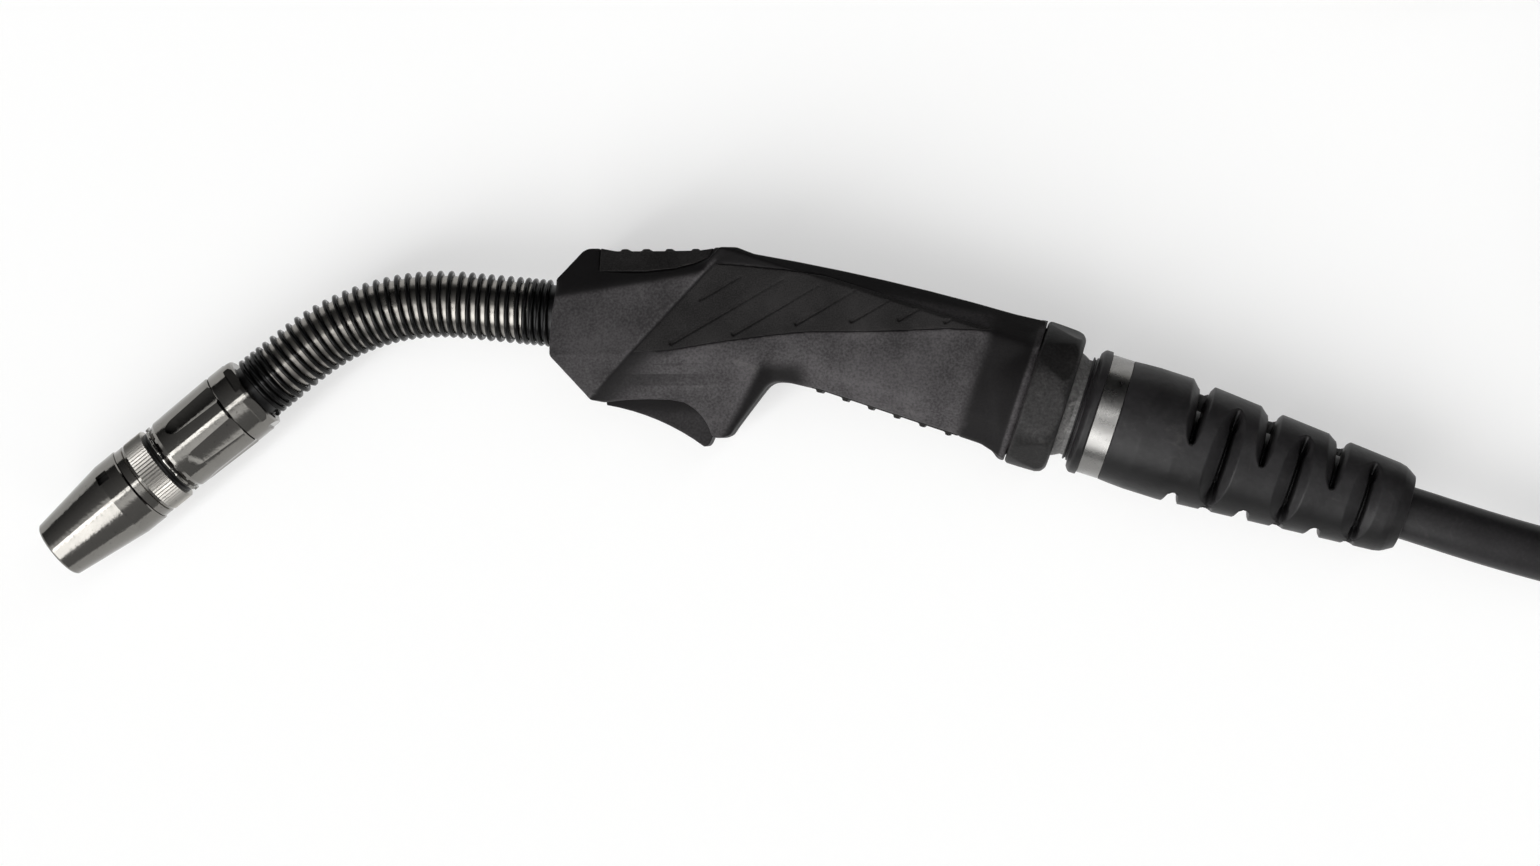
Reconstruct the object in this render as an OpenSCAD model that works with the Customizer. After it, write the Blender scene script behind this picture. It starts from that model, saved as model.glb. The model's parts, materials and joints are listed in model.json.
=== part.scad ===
// MIG welding torch, lying on its side with its cable coiled beside it.
// Millimetres. +X runs from the nozzle to the cable, +Y to the top of the handle, +Z up off the bench.

/* [Handle] */
// Length from the front face to the rear seat, along X
handle_l = 160; // [150:1:175]
// Fall of the rear seat below the front face's centre
handle_drop = 26.5; // [22:0.5:32]
// Width of the front housing over its flat sides
nose_w = 40; // [38:0.5:46]
// Width of the rear grip over its flat sides
grip_w = 38.4; // [37:0.2:39.4]
// Wall of both shells
wall = 3; // [2.6:0.1:3.6]
// Height of the top of the handle over the neck's axis
nose_top = 21.5; // [20:0.5:24]
// Depth that the rubber pads are let in
pad_depth = 1.4; // [1:0.1:1.8]
// How far the rubber pads stand proud
pad_proud = 0.3; // [0.2:0.1:0.8]

/* [Neck] */
// Diameter of the neck's outer tube
neck_d = 19; // [18:0.1:19.6]
// Wall of the outer tube
neck_wall = 1; // [0.8:0.1:1.2]
// Rise of the neck where it leaves the handle, in degrees
neck_rise = 5.5; // [3:0.5:8]
// Slope of the front end, in degrees
tip_drop = 38.5; // [34:0.5:44]
// Straight length in front of the handle
neck_run = 31.5; // [28:0.5:36]
// Radius of the neck's bend
neck_bend_r = 77; // [70:1:90]
// Straight length behind the collar
tip_run = 20.7; // [18:0.1:24]
// Wire of the neck's coil spring
spring_wire = 1.7; // [1.5:0.1:1.8]
// Curls of the coil spring
spring_curls = 35; // [30:1:38]

/* [Front end] */
// Diameter of the collar
collar_d = 27.6; // [27:0.1:30]
// Length of the collar
collar_l = 10; // [9:0.5:14]
// Diameter of the fluted body
body_d = 28; // [27:0.1:30]
// Length of the fluted body
body_l = 26.4; // [24:0.5:34]
// Length of the dark insulating ring
insulator_l = 3.3; // [3:0.1:5]
// Length of the knurled ring
knurl_l = 7.2; // [6:0.1:10]
// Length of the smooth seat ring
seat_l = 4.3; // [3.5:0.1:6]
// Diameter of the gas nozzle's barrel
nozzle_d = 28.7; // [28:0.1:32]
// Length of the gas nozzle's barrel
barrel_l = 8.1; // [8:0.1:14]
// Length of the gas nozzle's cone
cone_l = 28.2; // [24:0.5:40]
// Diameter of the nozzle's mouth, outside
mouth_d = 21; // [20:0.1:23]
// Diameter of the nozzle's mouth, inside
mouth_bore = 16.5; // [15:0.1:17.5]
// Diameter of the contact tip
tip_d = 8; // [7:0.5:10]
// Bore of the contact tip
wire_bore = 1.2; // [0.9:0.1:1.6]

/* [Trigger] */
// Width of the trigger
trigger_w = 14; // [12:0.5:15]
// Swing of the trigger, in degrees
trigger_swing = 5.5; // [4:0.5:6]
// Diameter of the trigger's pivot pin
pivot_d = 3; // [2.5:0.1:3.4]
// Diameter of the switch's plunger
plunger_d = 3; // [2.5:0.1:3.6]

/* [Cable joint] */
// Diameter of the swivel ball
ball_d = 39; // [38.6:0.1:39.4]
// Distance of the ball's centre behind the seat
ball_s = 7; // [6.6:0.1:7.4]
// Diameter of the locking nut
nut_d = 50; // [48.8:0.2:52]
// Length of the locking nut
nut_l = 14.2; // [13.9:0.1:14.6]
// Diameter of the boot's rim
rim_d = 43; // [42:0.2:44]
// Width of the band clamp
band_w = 7.3; // [6:0.1:8]
// Distance of the boot's end behind the seat
boot_reach = 132.35; // [128:0.5:140]
// Diameter of the boot's end
boot_end_d = 30.6; // [29:0.2:34]
// Slope of the cable joint, in degrees
tail_drop = 17.82; // [15:0.5:21]

/* [Cable] */
// Diameter of the cable
cable_d = 18; // [17:0.2:18.4]
// Middle radius of the coil
coil_mid_r = 95; // [92:1:108]
// Turns in each of the coil's two layers
layer_turns = 2.25; // [2.25]

/* [Connector] */
// Diameter of the hand nut
hand_nut_d = 48; // [46:0.5:52]
// Length of the hand nut
hand_nut_l = 34; // [30:1:40]
// Diameter of the central spigot
spigot_d = 18.8; // [18:0.1:20]
// Length of the central spigot
spigot_l = 30; // [26:1:36]
// Diameter of the contact pins
contact_d = 4; // [3.5:0.1:4.4]

/* [Hidden] */
$fn = 48;

// Clearances
run_gap = 0.3;
slide_fit = 0.05;
cut_over = 1;
floor_gap = 0.2;

// Placing of the torch
lie = max(nut_d / 2, nose_w / 2);
handle_front = [-56, 32.92];
handle_rear = handle_front + [handle_l, -handle_drop];

// Centreline of the neck: a is the heading's fall in degrees, from -neck_rise to tip_drop
function heading(a) = [-cos(a), -sin(a)];
function inward(a) = [sin(a), -cos(a)];
bend_start = handle_front + neck_run * heading(-neck_rise);
bend_centre = bend_start + neck_bend_r * inward(-neck_rise);
bend_end = bend_centre - neck_bend_r * inward(tip_drop);
tip_at = bend_end + tip_run * heading(tip_drop);
bend_angle = tip_drop + neck_rise;
neck_r = neck_d / 2;
neck_inside = 34;

// Stations along the front end, from the collar's rear face
z_body = collar_l + 0.2;
z_insulator = z_body + body_l;
z_knurl = z_insulator + insulator_l;
z_seat = z_knurl + knurl_l;
z_nozzle = z_seat + seat_l;
z_cone = z_nozzle + barrel_l;
z_mouth = z_cone + cone_l;
nozzle_wall = 2;
seat_inside = 4;
seat_r = nozzle_d / 2 - nozzle_wall - slide_fit;
seat_bore = 9;
window = 4.3;
window_turn = 35;
flutes = 6;
flute_r = 13;
flute_depth = 0.8;
flute_l = 20;
wrench_flat = 26.4;
wrench_l = 3.5;
knurl_teeth = 72;
knurl_depth = 0.35;

// Inside of the neck
core_r = 6.2;
core_bore = 2.6;
liner_r = 2.3;
liner_bore = 0.9;
holder_r = 6;
tip_stick_in = 2;

// Two-dimensional helpers
function unit(v) = v / norm(v);
function bow(a, b, rise, steps = 6) = [
    for (i = [0 : steps])
        let (t = i / steps)
        a + t * (b - a) + 4 * t * (1 - t) * rise * unit([a[1] - b[1], b[0] - a[0]])
];

module at_tip() {
    translate([tip_at[0], tip_at[1], lie])
        rotate([0, 0, tip_drop])
        rotate([0, -90, 0])
        children();
}

module at_rear() {
    translate([handle_rear[0], handle_rear[1], lie])
        rotate([0, 0, -tail_drop])
        rotate([0, 90, 0])
        rotate([0, 0, 180])
        children();
}

module flat_on_handle() {
    translate([handle_front[0], handle_front[1], lie])
        children();
}

module slab(depth) {
    translate([0, 0, -depth / 2])
        linear_extrude(height = depth)
        children();
}

module ring(r_out, r_in, from, to) {
    translate([0, 0, from])
        difference() {
            cylinder(r = r_out, h = to - from);
            translate([0, 0, -cut_over])
                cylinder(r = r_in, h = to - from + 2 * cut_over);
        }
}

module turned(outline) {
    rotate_extrude()
        polygon(outline);
}

// ---- Front end ----

module gas_nozzle() {
    r = nozzle_d / 2;
    inner = r - nozzle_wall;
    land = 4;
    color("gainsboro")
        at_tip()
        difference() {
            turned([
                [inner, z_nozzle], [r - 0.4, z_nozzle], [r, z_nozzle + 0.4], [r, z_cone],
                [mouth_d / 2 + 0.2, z_mouth - 0.6], [mouth_d / 2 - 0.3, z_mouth],
                [mouth_bore / 2, z_mouth], [mouth_bore / 2, z_mouth - land],
                [inner, z_cone + 1]
            ]);
            for (side = [0, 180])
                rotate([0, 0, window_turn + side])
                translate([inner - cut_over, -window / 2, z_nozzle + 6.6 - window / 2])
                cube([nozzle_wall + 2 * cut_over, window, window]);
        }
}

module nozzle_seat() {
    r = nozzle_d / 2 - 0.5;
    color("silver")
        at_tip()
        turned([
            [seat_bore, z_seat], [r - 0.6, z_seat], [r - 0.6, z_seat + 1], [r, z_seat + 1.3],
            [r, z_nozzle - 0.3], [r - 0.3, z_nozzle], [seat_r, z_nozzle],
            [seat_r, z_nozzle + seat_inside - 1], [seat_r - 1, z_nozzle + seat_inside],
            [seat_bore, z_nozzle + seat_inside]
        ]);
}

module knurled_ring() {
    r = nozzle_d / 2 - 0.4;
    color("silver")
        at_tip()
        translate([0, 0, z_knurl])
        difference() {
            linear_extrude(height = knurl_l)
                polygon([
                    for (i = [0 : 2 * knurl_teeth - 1])
                        let (rr = i % 2 == 0 ? r : r - knurl_depth, a = 180 * i / knurl_teeth)
                        [rr * cos(a), rr * sin(a)]
                ]);
            translate([0, 0, -cut_over])
                cylinder(r = seat_bore, h = knurl_l + 2 * cut_over);
        }
}

module insulating_ring() {
    r = nozzle_d / 2 - 2.1;
    color("dimgray")
        at_tip()
        turned([
            [seat_bore, z_insulator], [r, z_insulator], [r, z_insulator + 0.8], [r - 0.6, z_insulator + 1.4],
            [r - 0.6, z_knurl - 1.4], [r, z_knurl - 0.8], [r, z_knurl], [seat_bore, z_knurl]
        ]);
}

module fluted_body() {
    r = body_d / 2;
    shoulder = z_insulator - 2.2;
    nose_r = nozzle_d / 2 - 2.1;
    color("silver")
        at_tip()
        difference() {
            turned([
                [core_r + slide_fit, z_body], [r - 0.4, z_body], [r, z_body + 0.5], [r - 0.6, shoulder],
                [nose_r, z_insulator], [holder_r + 0.1, z_insulator], [holder_r + 0.1, z_insulator - 5],
                [core_r + slide_fit, z_insulator - 5]
            ]);
            for (i = [0 : flutes - 1])
                rotate([0, 0, 30 + 60 * i])
                translate([r - flute_depth + flute_r - 0.3, 0, z_body - cut_over]) {
                    cylinder(r = flute_r, h = flute_l - 3 + cut_over);
                    translate([0, 0, flute_l - 3 + cut_over])
                        sphere(r = flute_r);
                }
            translate([0, 0, z_body - cut_over])
                cylinder(r = neck_r + slide_fit, h = 4 + cut_over);
        }
}

module neck_collar() {
    r = collar_d / 2;
    color("silver")
        at_tip()
        difference() {
            turned([
                [neck_r + slide_fit, 0], [r - 1.6, 0], [r - 0.5, 0.5], [r, 1.6],
                [r, collar_l - 0.4], [r - 0.4, collar_l], [neck_r + slide_fit, collar_l]
            ]);
            for (i = [0 : 5])
                rotate([0, 0, 30 + 60 * i])
                translate([wrench_flat / 2 - 0.4, -r, -cut_over])
                cube([5, 2 * r, wrench_l + cut_over]);
        }
}

module contact_tip() {
    r = tip_d / 2;
    base = z_cone - 6;
    end = z_mouth - tip_stick_in;
    color("peru")
        at_tip()
        turned([
            [wire_bore / 2, base], [r - 1, base], [r - 1, base + 7], [r, base + 7],
            [r, end - 5], [r - 1.4, end - 0.4], [r - 1.8, end], [wire_bore / 2, end]
        ]);
}

module tip_holder() {
    start = z_insulator - 5;
    end = z_cone + 1;
    color("goldenrod")
        at_tip()
        difference() {
            union() {
                translate([0, 0, start])
                    cylinder(r = holder_r, h = end - 4 - start);
                translate([0, 0, end - 4])
                    cylinder(r = holder_r + 0.6, h = 4, $fn = 6);
            }
            translate([0, 0, start - cut_over])
                cylinder(r = liner_r + 0.1, h = end - start + 2 * cut_over);
            translate([0, 0, z_cone - 6])
                cylinder(r = tip_d / 2 - 1 + slide_fit, h = 8 + cut_over);
        }
}

module gas_diffuser() {
    start = z_insulator;
    end = z_cone - 3.2;
    color("ivory")
        at_tip()
        difference() {
            translate([0, 0, start])
                cylinder(r = seat_bore - slide_fit, h = end - start);
            translate([0, 0, start - cut_over])
                cylinder(r = holder_r + slide_fit, h = end - start + 2 * cut_over);
            translate([0, 0, z_nozzle + 1])
                difference() {
                    cylinder(r = seat_bore + 1, h = end - z_nozzle);
                    translate([0, 0, -cut_over])
                        cylinder(r = seat_bore - 1.2, h = end - z_nozzle + 2 * cut_over);
                }
            for (i = [0 : 7])
                rotate([0, 0, 45 * i])
                translate([0, 0, end - 2.4])
                rotate([0, 90, 0])
                cylinder(r = 0.9, h = seat_bore + 2);
        }
}

// ---- Neck ----

// A bend laps its straight ends, and is proud of them by a hair
bend_lap = 1;
bend_proud = 0.15;

module neck_rod(r, back, ahead) {
    translate([bend_centre[0], bend_centre[1], lie])
        rotate([0, 0, 90 - neck_rise]) {
            translate([neck_bend_r, bend_lap, 0])
                rotate([90, 0, 0])
                cylinder(r = r, h = back + neck_run + bend_lap);
            rotate_extrude(angle = bend_angle)
                translate([neck_bend_r, 0])
                circle(r = r + bend_proud);
            rotate([0, 0, bend_angle])
                translate([neck_bend_r, -bend_lap, 0])
                rotate([-90, 0, 0])
                cylinder(r = r, h = tip_run + ahead + bend_lap);
        }
}

module neck_layer(r_out, r_in, back, ahead) {
    difference() {
        neck_rod(r_out, back, ahead);
        neck_rod(r_in, back + cut_over, ahead + cut_over);
    }
}

module neck_tube() {
    color("lightgray")
        neck_layer(neck_r, neck_r - neck_wall, neck_inside, z_body + 4);
}

module neck_insulation() {
    color("wheat")
        neck_layer(neck_r - neck_wall - slide_fit, core_r + slide_fit, neck_inside + 2, z_body + 4);
}

module conductor_tube() {
    color("chocolate")
        neck_layer(core_r, core_bore, neck_inside + 12, z_insulator - 5);
}

module wire_liner() {
    color("steelblue")
        neck_layer(liner_r, liner_bore, neck_inside + 26, z_cone - 6.2);
}

// Coil spring round the neck: close curls at both ends, open ones between
spring_r = (neck_r + bend_proud + 0.1 + spring_wire / 2) / cos(22.5);
neck_arc = neck_run + neck_bend_r * bend_angle * PI / 180 + tip_run;
spring_first = spring_wire / 2 + 0.2;
spring_l = neck_arc - 2 * spring_first;
close_curls = 4;
close_pitch = spring_wire + 0.75;
open_pitch = (spring_l - 2 * close_curls * close_pitch) / (spring_curls - 2 * close_curls);
rings_per_curl = 8;

function spring_u(n) =
    n < close_curls ? n * close_pitch
    : n < spring_curls - close_curls ? close_curls * close_pitch + (n - close_curls) * open_pitch
    : spring_l - (spring_curls - n) * close_pitch;

function neck_a(u) =
    u < neck_run ? -neck_rise
    : u < neck_arc - tip_run ? -neck_rise + (u - neck_run) / neck_bend_r * 180 / PI
    : tip_drop;

function neck_p(u) =
    u < neck_run ? handle_front + u * heading(-neck_rise)
    : u < neck_arc - tip_run ? bend_centre - neck_bend_r * inward(neck_a(u))
    : bend_end + (u - neck_arc + tip_run) * heading(tip_drop);

function spring_point(n) =
    let (u = spring_first + spring_u(n), a = neck_a(u), p = neck_p(u), turn = 360 * n)
    [
        p[0] + spring_r * cos(turn) * inward(a)[0],
        p[1] + spring_r * cos(turn) * inward(a)[1],
        lie + spring_r * sin(turn)
    ];

spring_path = [for (i = [0 : spring_curls * rings_per_curl]) spring_point(i / rings_per_curl)];

// A tube along a path: rings of `sides` points, closed at both ends, faces as triangles
function path_dir(path, i) =
    unit(path[min(i + 1, len(path) - 1)] - path[max(i - 1, 0)]);

function ring_frame(dir, up) =
    let (side = unit(cross(dir, up)))
    [side, cross(side, dir)];

function tube_points(path, r, sides, ups, floor_z) = [
    for (i = [0 : len(path) - 1])
        let (f = ring_frame(path_dir(path, i), ups[i]))
        for (k = [0 : sides - 1])
            let (a = 360 * (k + 0.5) / sides, p = path[i] + r * (sin(a) * f[0] - cos(a) * f[1]))
            [p[0], p[1], max(p[2], floor_z)]
];

function tube_faces(rings, sides) = concat(
    [
        for (i = [0 : rings - 2])
            for (k = [0 : sides - 1])
                for (half = [0, 1])
                    let (a = i * sides + k, b = i * sides + (k + 1) % sides)
                    half == 0 ? [a, b, b + sides] : [a, b + sides, a + sides]
    ],
    [for (k = [1 : sides - 2]) [0, k + 1, k]],
    [for (k = [1 : sides - 2]) let (e = (rings - 1) * sides) [e, e + k, e + k + 1]]
);

module tube(path, r, sides, ups, floor_z = -1000) {
    polyhedron(
        points = tube_points(path, r, sides, ups, floor_z),
        faces = tube_faces(len(path), sides)
    );
}

function upright(path) = [for (p = path) [0, 0, 1]];

spring_ups = [
    for (i = [0 : spring_curls * rings_per_curl])
        let (c = neck_p(spring_first + spring_u(i / rings_per_curl)))
        unit(spring_path[i] - [c[0], c[1], lie])
];

// Least gap of a wound tube to itself: between the points of rings at least `apart` rings from each other
function least_gap(path, r, apart, reach) = min([
    for (i = [0 : len(path) - 1 - apart])
        for (j = [i + apart : min(i + apart + reach, len(path) - 1)])
            norm(path[i] - path[j]) - 2 * r
]);

module neck_spring() {
    echo(spring_least_gap = least_gap(spring_path, spring_wire / 2, 5, 8));
    color("black")
        tube(spring_path, spring_wire / 2, 6, spring_ups);
}

// ---- Handle ----

nose_l = 63.5;
horn_tip = [60, -42.3];
rear_in_handle = [handle_l, -handle_drop];

function rear_point(s, r) =
    rear_in_handle + s * [cos(tail_drop), -sin(tail_drop)] + r * [sin(tail_drop), cos(tail_drop)];

// Side view of both shells, from the front face's centre
outline = concat(
    [[1, -14.8], [1, -9.3], [2.9, 10.9], [11.2, nose_top - 1], [13.2, nose_top]],
    [[nose_l, nose_top]],
    bow([nose_l + 6, nose_top - 2.3], rear_point(-11, 23.3), 1.3),
    [rear_point(-0.5, 24.2), rear_point(-0.5, -24.2), rear_point(-4, -22.8)],
    [rear_point(-9, -21.5), rear_point(-14, -21.4)],
    [[91, -26.2], [80, -23.6], [75.8, -23.4], [73.3, -24.7]],
    [horn_tip + [2.5, 3.3], horn_tip + [1, 1], horn_tip + [-1.6, 0], horn_tip + [-4, 0]],
    bow([54.7, -41.5], [45.5, -30.4], -1.6, 4),
    bow([41, -29.5], [18.3, -30.3], -0.6, 3),
    [[13.9, -29.5]]
);

// Cross-sections, as half width and height
function mirrored(half) = concat(half, [for (i = [len(half) - 1 : -1 : 0]) [-half[i][0], half[i][1]]]);
nose_half = nose_w / 2;
grip_half = grip_w / 2;
nose_section = mirrored([[11.5, -31], [nose_half, -14.5], [nose_half, nose_top + 4]]);
grip_section = mirrored([
    [8, -25], [grip_half - 5.5, -20], [grip_half - 1.2, -13], [grip_half, -6], [grip_half, 14.5],
    [grip_half - 6, 20.5], [6, 27]
]);
guard_section = mirrored([
    [10.5, -46], [11.5, -33], [grip_half - 4, -23], [grip_half, -14.5], [grip_half, 7]
]);

// The step between the proud front housing and the grip runs along this line
step_low = [14, -28.4];
step_high = [57.2, 17.6];

module nose_zone(back) {
    run = unit(step_high - step_low);
    off = back * [-run[1], run[0]];
    polygon([
        step_low - 60 * run + off, step_high + 60 * run + off, [-80, 80], [-80, -80]
    ]);
}

// A section drawn out along X from one station to another
module drawn_out(section, inset, from, to) {
    translate([from, 0, 0])
        rotate([0, 90, 0])
        linear_extrude(height = to - from)
        offset(delta = -inset)
        polygon(section);
}

module nose_form(inset) {
    intersection() {
        drawn_out(nose_section, inset, -10, 90);
        slab(nose_w + 4)
            intersection() {
                offset(delta = -inset)
                    polygon(outline);
                nose_zone(0);
            }
        nose_chamfers(inset);
    }
}

// Flats that take the front housing's upper and front edges off
crease_at = [19.5, 8.5];
crease_rise = 9;
crease_tilt = 32;
module nose_chamfers(inset) {
    difference() {
        translate([-20, -100, -50])
            cube([140, 200, 100]);
        for (side = [-1, 1])
            scale([1, 1, side])
            translate([crease_at[0], crease_at[1], nose_half])
            rotate([0, 0, crease_rise])
            rotate([-crease_tilt, 0, 0])
            translate([-60, -inset, -inset])
            cube([160, 60, 60]);
    }
}

// The guard reaches down behind the trigger: its rear is cut off by a plane through ramp_at
ramp_at = [72, -14.5];
ramp_way = unit([0.524, -0.482, 0.702]);
module guard_form(inset) {
    at = [ramp_at[0], ramp_at[1], grip_half] - inset * ramp_way;
    difference() {
        drawn_out(guard_section, inset, 0, 110);
        for (side = [-1, 1])
            scale([1, 1, side])
            translate(at)
            rotate([0, acos(ramp_way[2]), atan2(ramp_way[1], ramp_way[0])])
            translate([-60, -60, 0])
            cube([120, 120, 60]);
    }
}

module grip_form(inset) {
    intersection() {
        union() {
            translate([rear_in_handle[0], rear_in_handle[1], 0])
                rotate([0, 0, -tail_drop])
                drawn_out(grip_section, inset, -150, 15);
            guard_form(inset);
        }
        slab(grip_w + 4)
            difference() {
                offset(delta = -inset)
                    polygon(outline);
                nose_zone(2);
            }
    }
}

module rear_axis() {
    translate([rear_in_handle[0], rear_in_handle[1], 0])
        rotate([0, 0, -tail_drop])
        rotate([0, 90, 0])
        children();
}

flare_l = 22;
module flare() {
    r = nut_d / 2;
    rear_axis()
        turned(concat(
            [[0, -flare_l], [17.6, -flare_l]],
            bow([18, -flare_l], [r - 0.5, -2.2], 2),
            [[r - 0.2, 0], [0, 0]]
        ));
}

module handle_form(inset) {
    nose_form(inset);
    grip_form(inset);
}

thread_r = 22;
thread_l = 8;
screw_r = 1.5;
screw_head_r = 2.8;
boss_r = 3.2;
screw_spots = [[18, 11.8], [66.5, -20.2], [90, 7.6], rear_point(-30, -14.4), rear_point(-33, 14.6)];
pivot = [21.5, -27];
plunger_x = 40;
switch_low = -24;
switch_high = -15.3;
switch_from = 25.5;
switch_to = 45.5;
switch_w = 9;
trigger_top = -26.8;

module trigger_side() {
    polygon(concat(
        bow([18.8, -31.2], [51.8, -45.2], 2.1, 8),
        [[53, -45], [53.8, -44], [55.6, -40], [54.4, -34.5], [50, -28.8], [46.5, trigger_top]],
        [[26, trigger_top], [24.2, -25.2]],
        [for (a = [40 : 20 : 200]) pivot + 3.1 * [cos(a), sin(a)]]
    ));
}

module trigger_room() {
    for (a = [0, trigger_swing / 2, trigger_swing])
        translate(pivot)
        rotate(a)
        translate(-pivot)
        offset(delta = 0.6)
        trigger_side();
}

module shells_solid() {
    difference() {
        union() {
            difference() {
                union() {
                    handle_form(0);
                    flare();
                }
                handle_form(wall);
            }
            intersection() {
                union() {
                    for (s = screw_spots)
                        translate([s[0], s[1], -nose_w / 2])
                        cylinder(r = boss_r, h = nose_w);
                    translate([pivot[0] - 5, pivot[1] - 4, -nose_w / 2])
                        cube([10, 9, nose_w / 2 - trigger_w / 2 - 0.6]);
                    translate([pivot[0] - 5, pivot[1] - 4, trigger_w / 2 + 0.6])
                        cube([10, 9, nose_w / 2 - trigger_w / 2 - 0.6]);
                    for (side = [-1, 1])
                        translate([30, switch_low + 1, side > 0 ? switch_w / 2 + 0.1 : -nose_w / 2])
                        cube([12, 6, nose_w / 2 - switch_w / 2 - 0.1]);
                    neck_bulkheads();
                }
                handle_form(0.5);
            }
            rear_axis()
                translate([0, 0, -cut_over])
                cylinder(r = thread_r, h = thread_l + cut_over);
        }
        slab(trigger_w + 1.2)
            trigger_room();
        rear_axis() {
            translate([0, 0, ball_s])
                sphere(r = ball_d / 2 + run_gap);
            translate([0, 0, -flare_l - 8])
                cylinder(r = 15.2, h = flare_l + 8);
            translate([0, 0, ball_s])
                cylinder(r = ball_d / 2 + run_gap, h = 10);
        }
        rotate([0, 0, -neck_rise])
            rotate([0, 90, 0])
            translate([0, 0, -6])
            cylinder(r = neck_r + slide_fit, h = neck_inside + 6);
        translate([pivot[0], pivot[1], -trigger_w / 2 - 3.6])
            cylinder(r = pivot_d / 2, h = trigger_w + 7.2);
        pad_seats();
    }
}

module neck_bulkheads() {
    for (web = [[0, -16], [neck_inside - 4, -11.8]])
        rotate([0, 0, -neck_rise])
        translate([web[0], web[1], -nose_w / 2])
        cube([4, 30, nose_w]);
}

// ---- Rubber pads let into the shells ----

function inlay_edge() = concat(
    [[34.5, -13.2], [58, 11.6], [58.6, 15.6]],
    bow([63.8, 15.3], [129.7, 4.1], 1.4, 4),
    [[141.5, 0.6], [150.5, -5], [149.5, -6.6]],
    bow([133.8, -5.8], [87.2, -6.8], 0.4, 3),
    bow([75.4, -7.9], [41, -12.9], -0.3, 2)
);

module inlay_plate(grow, low, high) {
    translate([0, 0, low])
        linear_extrude(height = high - low)
        offset(delta = grow)
        polygon(inlay_edge());
}

groove_w = 2;
groove_depth = 0.8;
groove_turn = 30;
grooves = [
    [56, 6.2, 11], [60.5, -0.2, 22], [77, 0.3, 17], [93.6, 1.2, 12],
    [109.5, 0.5, 9], [123.6, 0, 7], [136.2, -2.4, 3.8], [145.6, -4.2, 0.8]
];

// Each groove has one steep side and one gentle one, and gets shallower to its upper end
module inlay_grooves(top) {
    for (g = grooves)
        translate([g[0], g[1], top - groove_depth / 2])
        rotate([0, 0, groove_turn])
        rotate([0, -atan(0.4 * groove_depth / g[2]), 0])
        rotate([0, 90, 0])
        linear_extrude(height = 2 * g[2], center = true)
        polygon([[groove_depth / 2, 0], [groove_depth / 2, -0.3], [-3, -0.6], [-3, groove_w * 2]]);
}

module inlay() {
    top = grip_half + pad_proud;
    difference() {
        intersection() {
            inlay_plate(0, grip_half - pad_depth, top);
            grip_form(-pad_proud);
        }
        inlay_grooves(top);
    }
}

pad_dip = 1.1;
pad_seat = 2;
pad_side = [
    [17.4, nose_top + 4], [17.4, 13.6], [33, 13.4], [43, 14.4], [50.6, 16.4], [54.5, 18.3],
    [58, nose_top + 4]
];
pad_ribs = [25.7, 32.9, 40.7, 49.5];
rib_proud = 0.8;
rib_w = 26;
rib_t = 2.4;

// The thumb rests in a shallow dip, on low ribs
module thumb_pad() {
    color([0.13, 0.13, 0.14])
        flat_on_handle()
        difference() {
            intersection() {
                nose_form(0);
                slab(nose_w + 6)
                    polygon(pad_side);
                union() {
                    slab(nose_w + 6)
                        polygon(concat(
                            [[58, 0], [10, 0]],
                            [[10, nose_top], [17.4, nose_top]],
                            bow([22.5, nose_top - pad_dip + 0.1], [51, nose_top - pad_dip + 0.1], -0.1),
                            [[58, nose_top]]
                        ));
                    slab(rib_w)
                        for (x = pad_ribs)
                            translate([x - rib_t / 2, nose_top - 4])
                            square([rib_t, 4 - pad_dip + rib_proud]);
                }
            }
            nose_form(pad_seat);
        }
}

strip_from = -69;
strip_to = -17;
strip_ribs = 6;
rib_pitch = 9.1;
strip_proud = 0.9;

module strip_box(grow) {
    rear_axis()
        translate([-11, -30, strip_from - grow])
        cube([22, 16, strip_to - strip_from + 2 * grow]);
}

module finger_strip() {
    color([0.13, 0.13, 0.14])
        flat_on_handle()
        difference() {
            union() {
                intersection() {
                    grip_form(0);
                    strip_box(0);
                }
                intersection() {
                    grip_form(-strip_proud);
                    rear_axis()
                        for (i = [0 : strip_ribs - 1])
                            translate([-10, -30, -65.9 + rib_pitch * i - 0.9])
                            cube([20, 16, 1.8]);
                }
            }
            grip_form(pad_depth);
        }
}

module pad_seats() {
    for (side = [-1, 1])
        scale([1, 1, side])
        inlay_plate(0.05, grip_half - pad_depth, grip_half + 6);
    difference() {
        slab(nose_w + 10)
            polygon(pad_side);
        nose_form(pad_seat);
    }
    difference() {
        strip_box(0.05);
        grip_form(pad_depth);
    }
}

module inlay_left() {
    color([0.15, 0.15, 0.16])
        flat_on_handle()
        inlay();
}

module inlay_right() {
    color([0.15, 0.15, 0.16])
        flat_on_handle()
        scale([1, 1, -1])
        inlay();
}

screw_l = 22;
module screw_cuts() {
    for (s = screw_spots)
        translate([s[0], s[1], -nose_w]) {
            cylinder(r = screw_head_r + 0.1, h = nose_w - 12);
            cylinder(r = screw_r, h = nose_w + screw_l - 12);
        }
}

module handle_left() {
    color([0.1, 0.1, 0.11])
        flat_on_handle()
        difference() {
            intersection() {
                shells_solid();
                translate([-50, -100, 0])
                    cube([300, 200, 60]);
            }
            screw_cuts();
        }
}

module handle_right() {
    color([0.1, 0.1, 0.11])
        flat_on_handle()
        difference() {
            intersection() {
                shells_solid();
                translate([-50, -100, -60])
                    cube([300, 200, 60]);
            }
            screw_cuts();
        }
}

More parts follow.
